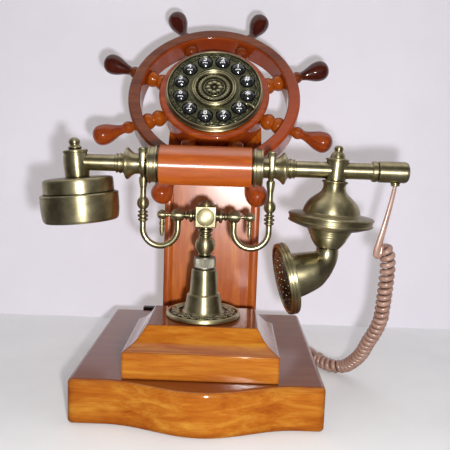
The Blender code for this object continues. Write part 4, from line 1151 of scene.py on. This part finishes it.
def build_hooks():
    """On each side a rod bent into a U, its upright and fork, and the end ball with its pendant."""
    arm = (
        (0, 176.5, SOFT), (2.6, 176.2, SOFT), (3.3, 175.0, SOFT), (3.1, 171.5, SOFT), (2.5, 168.3),
        (2.25, 167.4),
        (2.25, 161.6), (2.5, 160.6), (3.7, 159.3, SOFT), (4.5, 157.2, SOFT), (4.5, 154.9, SOFT),
        (3.6, 152.8, SOFT),
        (2.3, 151.5), (2.2, 150.5), (3.6, 150.0), (3.9, 149.4), (3.6, 148.8), (2.6, 148.4), (2.6, 147.7),
        (3.9, 147.2), (4.2, 146.4), (3.9, 145.6), (2.6, 145.2), (2.6, 144.5), (3.6, 144.1), (3.9, 143.5),
        (3.6, 142.9), (2.7, 142.5), (HOOK_ROD_R, 141.8), (HOOK_ROD_R, 139.0), (0, 139.0))
    nut = ((0, 5.2), (1.9, 5.1), (2.9, 4.5), (4.2, 3.0, SOFT), (4.9, 1.1, SOFT), (4.9, -1.1, SOFT),
           (4.2, -3.0, SOFT), (2.9, -4.5), (1.9, -5.1), (0, -5.2))
    span = (HOOK_X - NUT_X) / 2
    for side, word in ((-1, "left"), (1, "right")):
        bend = [(POST_AT.x + side * NUT_X, POST_AT.y, CRADLE_Z - 2)]
        for i in range(49):
            a = math.pi * i / 48
            bend.append((POST_AT.x + side * (NUT_X + span - span * math.cos(a)), POST_AT.y,
                         HOOK_BOTTOM + span - span * math.sin(a)))
        bend.append((POST_AT.x + side * HOOK_X, POST_AT.y, 142.0))
        hook = sweep(f"hook_{word}_rod", bend, HOOK_ROD_R, GROUND, "brass_cast", 24)
        settle(hook, "cradle", "brass_antique", f"hook_{word}")
        brass_turning(f"hook_{word}_nut", nut, cradle_placing(side * NUT_X, (1, 0, 0)), "cradle", steps=48)
        brass_turning(f"hook_{word}_upright", arm,
                      beside_post(side * HOOK_X, 0), "cradle", steps=40, fillet=0.2)
        fork = loft(f"hook_{word}_fork", fork_rings(),
                    beside_post(side * HOOK_X, HANDSET_AT.z), "brass_cast")
        settle(fork, "cradle", "brass_antique")
        ball = [(END_BALL_R * math.sin(math.radians(a)),
                 END_BALL_X + END_BALL_R * math.cos(math.radians(a)), SOFT)
                for a in (0, 30, 60, 90, 120, 145)]
        bar = (*ball, (1.9, 30.2), (1.9, 29.4), (1.3, 29.0), (1.3, NUT_X + 5.3), (0, NUT_X + 5.3))
        brass_turning(f"end_ball_{word}_brass", bar,
                      cradle_placing(0, (side, 0, 0)), "cradle", f"end_ball_{word}", steps=40, fillet=0.2)
        drop = ((0, -2.0), (1.5, -2.0), (1.5, -5.4), (2.1, -6.0), (2.2, -6.8, SOFT), (2.1, -7.6), (1.5, -8.3),
                (1.9, -10.4, SOFT), (1.7, -13.2, SOFT), (1.1, -15.6, SOFT), (0.9, -16.4), (0, -17.0))
        brass_turning(f"pendant_{word}_brass", drop,
                      beside_post(side * END_BALL_X, CRADLE_Z), "cradle", steps=32,
                      fillet=0.15)


# ---- handset ----
GRIP_HALF, GRIP_R, WIRE_BORE_R, TUBE_R = 35.65, 15.0, 4.0, 6.25


def build_grip():
    """The turned wooden grip, both necks, the tubes and the end cap."""
    edge, end = 0.7, GRIP_HALF - 0.8
    grip = lathe(
        "grip_wood",
        ((GRIP_R - edge, end), (GRIP_R, end - edge), (GRIP_R, edge - end), (GRIP_R - edge, -end),
         (WIRE_BORE_R, -end), (WIRE_BORE_R, end)),
        HANDSET, "rust_turned", 96, 0.5)
    settle(grip, "handset", "wood_red", "grip")
    start = GRIP_HALF + 0.3
    neck = (
        (7.3, 67.5), (7.4, 66.9), (7.0, 66.4), (6.6, 65.9), (6.9, 65.4), (7.6, 65.0), (7.6, 63.6),
        (7.0, 63.0),
        (7.2, 62.2), (8.9, 61.0), (11.3, 60.1, SOFT), (12.1, 59.2, SOFT), (11.7, 58.2, SOFT),
        (9.6, 56.2, SOFT),
        (8.0, 53.6, SOFT), (NECK_R, 51.4), (NECK_R, 44.2), (8.4, 43.5), (13.6, 43.2), (14.5, 42.6),
        (14.5, 41.6),
        (13.9, 41.2), (13.7, 40.9), (13.7, 38.4), (13.9, 38.1), (14.6, 37.6), (14.6, start + 0.2),
        (13.2, start),
        (13.2, start - 0.9), (WIRE_BORE_R, start - 0.9), (WIRE_BORE_R, 67.5))
    for word, place in (("left", HANDSET_LEFT), ("right", HANDSET)):
        brass_turning(f"neck_{word}_brass", neck, place, "handset", f"neck_{word}")
    left_end, start = -EAR_OFFSET + 2, 67.8
    brass_turning(
        "tube_left_brass",
        ((TUBE_R, left_end), (TUBE_R, start), (WIRE_BORE_R, start), (WIRE_BORE_R, left_end)),
        HANDSET_LEFT, "handset", "tube_left", steps=56, fillet=0.2)
    brass_turning(
        "tube_right_brass",
        ((7.0, 129.6), (7.4, 129.3), (7.8, 128.6, SOFT), (7.8, 126.4, SOFT), (7.4, 125.6), (6.6, 125.2),
         (TUBE_R, 124.8), (TUBE_R, start), (WIRE_BORE_R, start), (WIRE_BORE_R, 129.6)),
        HANDSET, "handset", "tube_right", steps=56, fillet=0.25)
    end = box_mm("end_cap")[1].x - HANDSET_AT.x
    brass_turning(
        "end_cap_brass",
        ((0, end), (5.4, end), (7.2, end - 0.8), (8.0, end - 2.6), (8.0, 131.2), (7.7, 130.4), (7.0, 129.9),
         (4.0, 129.9), (4.0, end - 4), (0, end - 4)),
        HANDSET, "handset", "end_cap", steps=64, fillet=0.5)


def build_earpiece():
    """The stem through the left end, the shell and the cap under it."""
    brass_turning(
        "ear_stem_brass",
        ((0, 18.2), (1.3, 18.1), (3.0, 17.2, SOFT), (4.1, 15.6, SOFT), (4.1, 14.2, SOFT), (3.5, 12.8),
         (3.6, 12.2), (4.9, 11.2), (5.2, 10.5), (5.0, 9.9), (4.3, 9.4), (5.4, 9.1), (8.7, 8.9), (9.4, 8.3),
         (9.5, 7.4), (8.9, 6.8), (8.7, 6.2), (9.2, 3.9, SOFT), (9.5, -1.6, SOFT), (9.4, -6.4, SOFT),
         (9.0, -10.4, SOFT), (8.8, -12.0), (0, -12.0)),
        EAR, "handset", "ear_stem", fillet=0.25)
    brass_turning(
        "ear_shell_brass",
        ((0, -12.1), (9.4, -12.1), (9.8, -11.8), (24.2, -12.0), (25.9, -12.6), (26.5, -13.9), (26.6, -23.4),
         (25.0, -23.4), (25.0, -14.6), (0, -14.6)),
        EAR, "handset", "ear_shell", steps=120, fillet=0.7)
    brass_turning(
        "ear_cap_brass",
        ((26.8, -23.6), (28.9, -23.7), (29.6, -24.4), (29.7, -25.4), (29.5, -25.9), (29.6, -29.8),
         (29.5, -30.6), (29.6, -31.2), (29.3, -37.4, SOFT), (28.5, -43.0), (27.4, -44.8), (24.0, -44.6),
         (16.0, -42.9), (8.0, -42.4), (5.0, -42.4), (5.0, -40.2), (26.6, -40.2)),
        EAR, "handset", "ear_cap", steps=120, fillet=0.5)


def circle(centre, normal, radius, sides):
    """A ring of points, with the first one towards the back of the telephone."""
    n = Vector(normal).normalized()
    across = (Vector((0, 1, 0)) - n * n.y).normalized()
    up = n.cross(across)
    turns = [TAU * i / sides for i in range(sides)]
    return [tuple(Vector(centre) + radius * (math.cos(a) * across + math.sin(a) * up)) for a in turns]


def build_horn():
    """The elbow: circles that swing round its tight inner corner, then widen towards the mouthpiece ring."""
    corner = HANDSET_AT + Vector((86.1, 0, -61.7))
    stations = [((HANDSET_AT.x + 95.2, HANDSET_AT.y, HANDSET_AT.z - 59.4), (0, 0, -1), 8.5)]
    for turn, radius in ((0, 8.5), (22, 8.9), (45, 9.9), (65, 11.8), (82, 14.2)):
        a = math.radians(turn)
        out = Vector((math.cos(a), 0, -math.sin(a)))
        stations.append((corner + out * (radius + 0.7), (-math.sin(a), 0, -math.cos(a)), radius))
    stations.append((HANDSET_AT + Vector((77.9, 0, -79.9)), (-0.98, -0.08, -0.18), 16.4))
    stations.append((HORN_MOUTH - HORN_AIM * 4.2 + Vector((0, 0, 0.6)), HORN_AIM, 18.0))
    fine = spline([(*place, *Vector(normal).normalized(), radius) for place, normal, radius in stations], 7)
    rings = [circle(row[:3], row[3:6], row[6], 64) for row in fine.tolist()]
    horn = loft("horn_brass", rings, GROUND, "brass_cast")
    horn.modifiers.clear()
    settle(horn, "handset", "brass_antique", "horn")


def build_mouthpiece():
    """The stem through the right end, the bell and the ring round the grille."""
    brass_turning(
        "mouth_stem_brass",
        ((0, 18.7, SOFT), (1.9, 18.4, SOFT), (3.1, 17.3, SOFT), (3.4, 15.9, SOFT), (3.0, 14.5), (3.2, 13.9),
         (4.4, 12.8, SOFT), (5.3, 11.0, SOFT), (5.7, 9.4), (6.1, 9.1), (8.3, 8.8), (8.9, 8.2), (8.8, 7.5),
         (8.1, 7.0), (7.9, 4.8), (7.8, -7.5), (0, -7.5)),
        MOUTH, "handset", "mouth_stem")
    brass_turning(
        "bell_brass",
        ((0, -7.8), (9.3, -7.8), (10.0, -8.4), (9.9, -9.1), (8.9, -9.8), (8.5, -11.4, SOFT),
         (8.7, -13.8, SOFT), (10.2, -16.8, SOFT), (14.0, -19.9, SOFT), (18.0, -23.6, SOFT),
         (20.8, -28.2, SOFT), (21.9, -32.0), (22.6, -32.6), (27.0, -33.3), (31.3, -33.9), (32.4, -34.5),
         (32.6, -35.3), (32.3, -35.9), (31.7, -36.2), (31.6, -36.9), (31.9, -37.1), (31.9, -37.5),
         (31.5, -37.7), (31.4, -38.7), (31.9, -39.0), (32.3, -39.6), (32.1, -40.3), (31.0, -41.0),
         (27.0, -42.4), (22.4, -43.9), (17.9, -44.8), (16.9, -45.4), (16.8, -46.3), (16.2, -46.7),
         (16.0, -47.9), (15.3, -48.3), (15.0, -49.9), (14.2, -50.4), (13.6, -52.4, SOFT),
         (11.8, -55.6, SOFT), (9.2, -58.9), (0, -58.9)),
        MOUTH, "handset", "bell", steps=144, fillet=0.5)
    brass_turning(
        "mouth_ring_brass",
        ((24.9, 1.2), (25.5, 1.9), (26.6, 2.0, SOFT), (27.5, 1.5, SOFT), (27.8, 0.9), (27.3, 0.5),
         (27.3, 0.2), (27.9, -0.1), (28.0, -1.4), (27.4, -1.8), (27.4, -2.1), (28.0, -2.5), (28.0, -4.2),
         (27.1, -5.2), (6.0, -5.2), (6.0, -3.4), (24.9, -3.4)),
        MOUTHPIECE, "handset", "mouth_ring", material="brass_bright", steps=144, fillet=0.25)
    build_grille()


def build_grille():
    """Domed disc with a middle sound hole and four rings of them, over a dark disc of painted shade behind
    the holes.
    """
    disc = lathe("mouth_grille_brass", ((0, 4.8, SOFT), (8.0, 4.4, SOFT), (14.0, 3.6, SOFT),
                                        (20.0, 2.3, SOFT),
                                        (24.6, 1.0), (24.6, -0.2), (20.0, 1.0), (11.0, 2.6), (0, 3.4)),
                 MOUTHPIECE, "brass_grille", 96, 0.2)
    disc.modifiers.clear()
    drills = bmesh.new()
    for distance, count in ((0, 1), (5.6, 6), (11.0, 12), (16.4, 16), (21.0, 22)):
        radius = 1.5 if distance < 20 else 1.1
        for i in range(count):
            angle = TAU * (i + 0.5 * (distance > 10)) / count
            at = Matrix.Translation(Vector((distance * math.cos(angle), distance * math.sin(angle), 0)) * MM)
            bmesh.ops.create_cone(drills, cap_ends=True, segments=14, radius1=radius * MM,
                                  radius2=radius * MM,
                                  depth=12 * MM, matrix=at)
    mesh = bpy.data.meshes.new("drills")
    drills.to_mesh(mesh)
    drills.free()
    carve(disc, add_object("drills", mesh, MOUTHPIECE))
    even_normals(disc)
    settle(disc, "handset", "brass_antique", "mouth_grille")
    # painted shade: a dark disc under the grille makes its holes read dark
    backing = lathe("mouth_grille_backing", ((0, 1.4), (20.0, -0.6), (24.4, -1.6), (24.0, -2.4), (0, -2.4)),
                    MOUTHPIECE, "dark", 64, 0.3)
    settle(backing, "handset", "plastic_black")


# ---- cord ----
CORD_WIRE_R, COIL_R, COIL_PITCH = 2.3, 3.8, 5.2


def build_cord():
    """The flat lead from the end cap, the coil hanging from it, and the lead into the base's side."""
    def spot(x, y, z):
        """A point given from the middle of the grip."""
        return tuple(HANDSET_AT + Vector((x, y, z)))

    centre_line = spline([
        spot(138.9, 0.2, -55.0), spot(141.4, 0.4, -62.5), spot(142.6, 0.9, -72.0), spot(142.6, 2.2, -82.6),
        spot(142.7, 4.2, -92.6), spot(142.8, 9.7, -111.6), spot(142.7, 12.4, -118.0),
        spot(140.8, 18.7, -129.6),
        spot(137.6, 26.7, -141.6), spot(135.3, 36.7, -154.6), spot(131.8, 49.7, -166.5),
        spot(126.9, 63.5, -176.5), spot(116.8, 70.0, -179.1), spot(108.6, 80.9, -179.1),
        spot(106.4, 90.0, -178.9)], 10)
    steps = np.linalg.norm(np.diff(centre_line, axis=0), axis=1)
    length = np.concatenate([[0], np.cumsum(steps)])
    per_turn = 22
    turns = int(length[-1] / COIL_PITCH)
    count = turns * per_turn
    at_length = np.linspace(0, length[-1], count + 1)
    centre = np.column_stack([np.interp(at_length, length, centre_line[:, i]) for i in range(3)])
    _, side, other = travelling_frames(centre)
    angle = math.pi * 1.1 + TAU * np.arange(count + 1) / per_turn
    reach = COIL_R * (0.55 + 0.45 * np.clip(np.arange(count + 1) / (1.3 * per_turn), 0, 1))
    coil = centre + reach[:, None] * (side * np.cos(angle)[:, None] + other * np.sin(angle)[:, None])
    lead = spline([spot(143.7, 0, -5.5), spot(143.4, -0.1, -12), spot(141.2, -0.5, -24),
                   spot(137.5, -1.0, -41),
                   spot(134.4, -1.3, -54.0), spot(133.2, -1.2, -60.5), spot(133.6, -1.0, -63.6),
                   spot(136.0, -1.0, -62.6), tuple(coil[4])], 8)[:-1]
    inlet = spline([tuple(coil[-1]), spot(104.2, 97.5, -176.6), spot(99.5, 101.0, -174.4),
                    spot(95.0, 102.6, -173.6), spot(91.6, 102.7, -173.7)], 8)[1:]
    path = np.vstack([lead, coil[4:], inlet])
    wide = np.full(len(path), CORD_WIRE_R)
    thick = wide.copy()
    flat = len(lead)
    down = np.linspace(0, 1, flat)
    wide[:flat] = np.interp(down, (0, 0.5, 0.85, 1), (1.2, 1.3, 1.7, CORD_WIRE_R))
    thick[:flat] = np.interp(down, (0, 0.3, 0.6, 0.72, 0.88, 1), (1.25, 1.9, 2.9, 3.1, 2.3, CORD_WIRE_R))
    cord = sweep("coiled_cord_vinyl", path, wide, GROUND, "cord", 10, thick)
    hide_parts("coiled_cord")
    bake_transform(cord)
    brass_turning(
        "cord_gland",
        ((0, -7.6), (2.9, -7.6), (3.6, -8.3), (3.6, -8.8), (3.0, -9.1), (3.4, -9.5), (3.4, -10.0),
         (2.7, -10.4), (0, -10.4)),
        placing(spot(143.7, 0, 0)), "handset", material="brass_bright", steps=32, fillet=0.15)


# ---- CAD nodes that stay ----
def dress(node, material, width=0.4):
    """A CAD node that stays gets a procedural material and softened edges."""
    piece = frame["nodes"][node]
    piece.data.materials.clear()
    piece.data.materials.append(MATERIALS[material])
    weld = piece.modifiers.new("weld", "WELD")
    weld.merge_threshold = 0.00001
    if width:
        step = piece.modifiers.new("edges", "BEVEL")
        step.width = width * MM
        step.segments = 3
        step.limit_method = "ANGLE"
        step.angle_limit = math.radians(50)
        step.use_clamp_overlap = True
        step.harden_normals = False


def dress_frame():
    """Finishes of the inner parts, which keep their CAD shape."""
    dress("base_bottom_plate", "plastic", 0.6)
    dress("line_jack", "plastic", 0.6)
    dress("circuit_board", "board", 0.2)
    dress("keypad_board", "board", 0.2)
    dress("hook_spring", "steel", 0)
    for face in frame["nodes"]["hook_spring"].data.polygons:
        face.use_smooth = True


# ---- stage ----
CAMERA_AT = Vector((5.8, -506.1, 202.4))
FOCAL_MM, SENSOR_MM = 48.43, 36.0
PITCH, YAW, ROLL = math.radians(7.58), math.radians(-0.42), math.radians(1.93)
WALL_Y = 172.0
FLOOR_REACH, WALL_REACH = 3000, 1500


def build_camera():
    """A camera placed and turned to match the photo."""
    forward = Vector((math.sin(YAW) * math.cos(PITCH), math.cos(YAW) * math.cos(PITCH), -math.sin(PITCH)))
    level = Vector((math.cos(YAW), -math.sin(YAW), 0))
    down = forward.cross(level)
    right = level * math.cos(ROLL) - down * math.sin(ROLL)
    up = -(level * math.sin(ROLL) + down * math.cos(ROLL))
    data = bpy.data.cameras.new("camera")
    data.lens, data.sensor_width = FOCAL_MM, SENSOR_MM
    data.clip_start, data.clip_end = 0.01, 20.0
    turn = Matrix((right, up, -forward)).transposed().to_4x4()
    bpy.context.scene.camera = add_object("camera", data, Matrix.Translation(CAMERA_AT * MM) @ turn)


def area_light(name, at_mm, aim_mm, size_mm, watts, colour=(1, 1, 1), shape="RECTANGLE"):
    """A flat lamp that shines from one point towards another and is not seen itself."""
    data = bpy.data.lights.new(name, "AREA")
    data.shape = shape
    data.size, data.size_y = size_mm[0] * MM, size_mm[1] * MM
    data.energy = watts
    data.color = colour
    light = bpy.data.objects.new(name, data)
    at, aim = Vector(at_mm) * MM, Vector(aim_mm) * MM
    light.location = at
    light.rotation_mode = "QUATERNION"
    light.rotation_quaternion = (aim - at).to_track_quat("-Z", "Y")
    light.visible_camera = False
    bpy.context.scene.collection.objects.link(light)
    return light


def build_lights():
    """A small flash by the camera, a soft window, a ceiling light and the room."""
    target = (0, -40, 150)
    area_light("flash", CAMERA_AT + Vector((29, 6, -34)), target, (24, 24), 2.45, (1.0, 0.985, 0.965), "DISK")
    area_light("window", CAMERA_AT + Vector((20, -60, -45)), target, (1000, 600), 0.35, (1.0, 0.99, 0.98))
    area_light("ceiling", (0, -60, 900), (0, -60, 0), (1400, 460), 1.5, (1.0, 0.98, 0.97))
    build_room()


def build_room():
    """The light from all round: dark behind the camera and pale ahead of it."""
    s = Shader("room", bpy.data.worlds.new("room"))
    bpy.context.scene.world = s.material
    ahead = s.node("SeparateXYZ", {0: s.node("TexCoord").outputs["Generated"]}).outputs["Y"]
    spread = s.node("Math", {0: ahead, 1: 0.75, 2: 0.20}, operation="MULTIPLY_ADD").outputs[0]
    sky = s.ramp(spread, ((0.0, (0.10, 0.095, 0.095)), (1.0, (0.75, 0.73, 0.78))))
    seen = s.node("LightPath").outputs["Is Camera Ray"]
    s.fill(s.tree.nodes["Background"], {"Color": s.mix(seen, sky, (0.80, 0.78, 0.82))})


def stage_plane(name, corners_mm, material):
    """A flat surface behind or under the telephone, which is not part of it."""
    mesh = bpy.data.meshes.new(name)
    mesh.from_pydata([Vector(c) * MM for c in corners_mm], [], [(0, 1, 2, 3)])
    mesh.materials.append(material)
    add_object(name, mesh)


def pale(name, low, high, glow, scale, one_sided=False, dim_in_reflections=False):
    """A plain pale surface; glow stands for the room's light that falls on it from outside the picture."""
    s = Shader(name)
    cloud = s.noise(s.place(), scale, 4.0, 0.6)
    s.finish(Base_Color=s.ramp(cloud, ((0.3, low), (0.7, high))), Roughness=0.85,
             Emission_Color=(*glow, 1.0), Emission_Strength=1.0, Normal=s.bump(cloud, 0.15, 1.0))
    if dim_in_reflections:
        shade = s.node("BsdfDiffuse", {"Color": (0.16, 0.16, 0.16, 1)})
        s.switch(s.node("LightPath").outputs["Is Glossy Ray"], shade)
    if one_sided:
        s.switch(s.node("NewGeometry").outputs["Backfacing"], s.node("BsdfTransparent"))
    return s.material


def build_stage():
    """The floor, and a wall that is clear from behind."""
    floor = pale("floor_pale", (0.70, 0.71, 0.72), (0.78, 0.79, 0.80), (0.14, 0.14, 0.14), 9.0,
                 dim_in_reflections=True)
    wall = pale("wall_pale", (0.56, 0.54, 0.66), (0.62, 0.60, 0.72), (0.27, 0.255, 0.23), 6.0, one_sided=True)
    reach, top = FLOOR_REACH, WALL_REACH
    stage_plane("floor", ((-reach, -reach, 0), (reach, -reach, 0), (reach, reach, 0), (-reach, reach, 0)),
                floor)
    stage_plane("wall", ((-top, WALL_Y, 0), (top, WALL_Y, 0), (top, WALL_Y, top), (-top, WALL_Y, top)), wall)


build_base()
build_plinth()
build_column()
build_wheel()
build_dial()
build_post()
build_cross_block()
build_hooks()
build_grip()
build_earpiece()
build_horn()
build_mouthpiece()
build_cord()
dress_frame()
build_camera()
build_lights()
build_stage()
bpy.context.scene.view_settings.view_transform = "Standard"

bpy.context.view_layer.update()
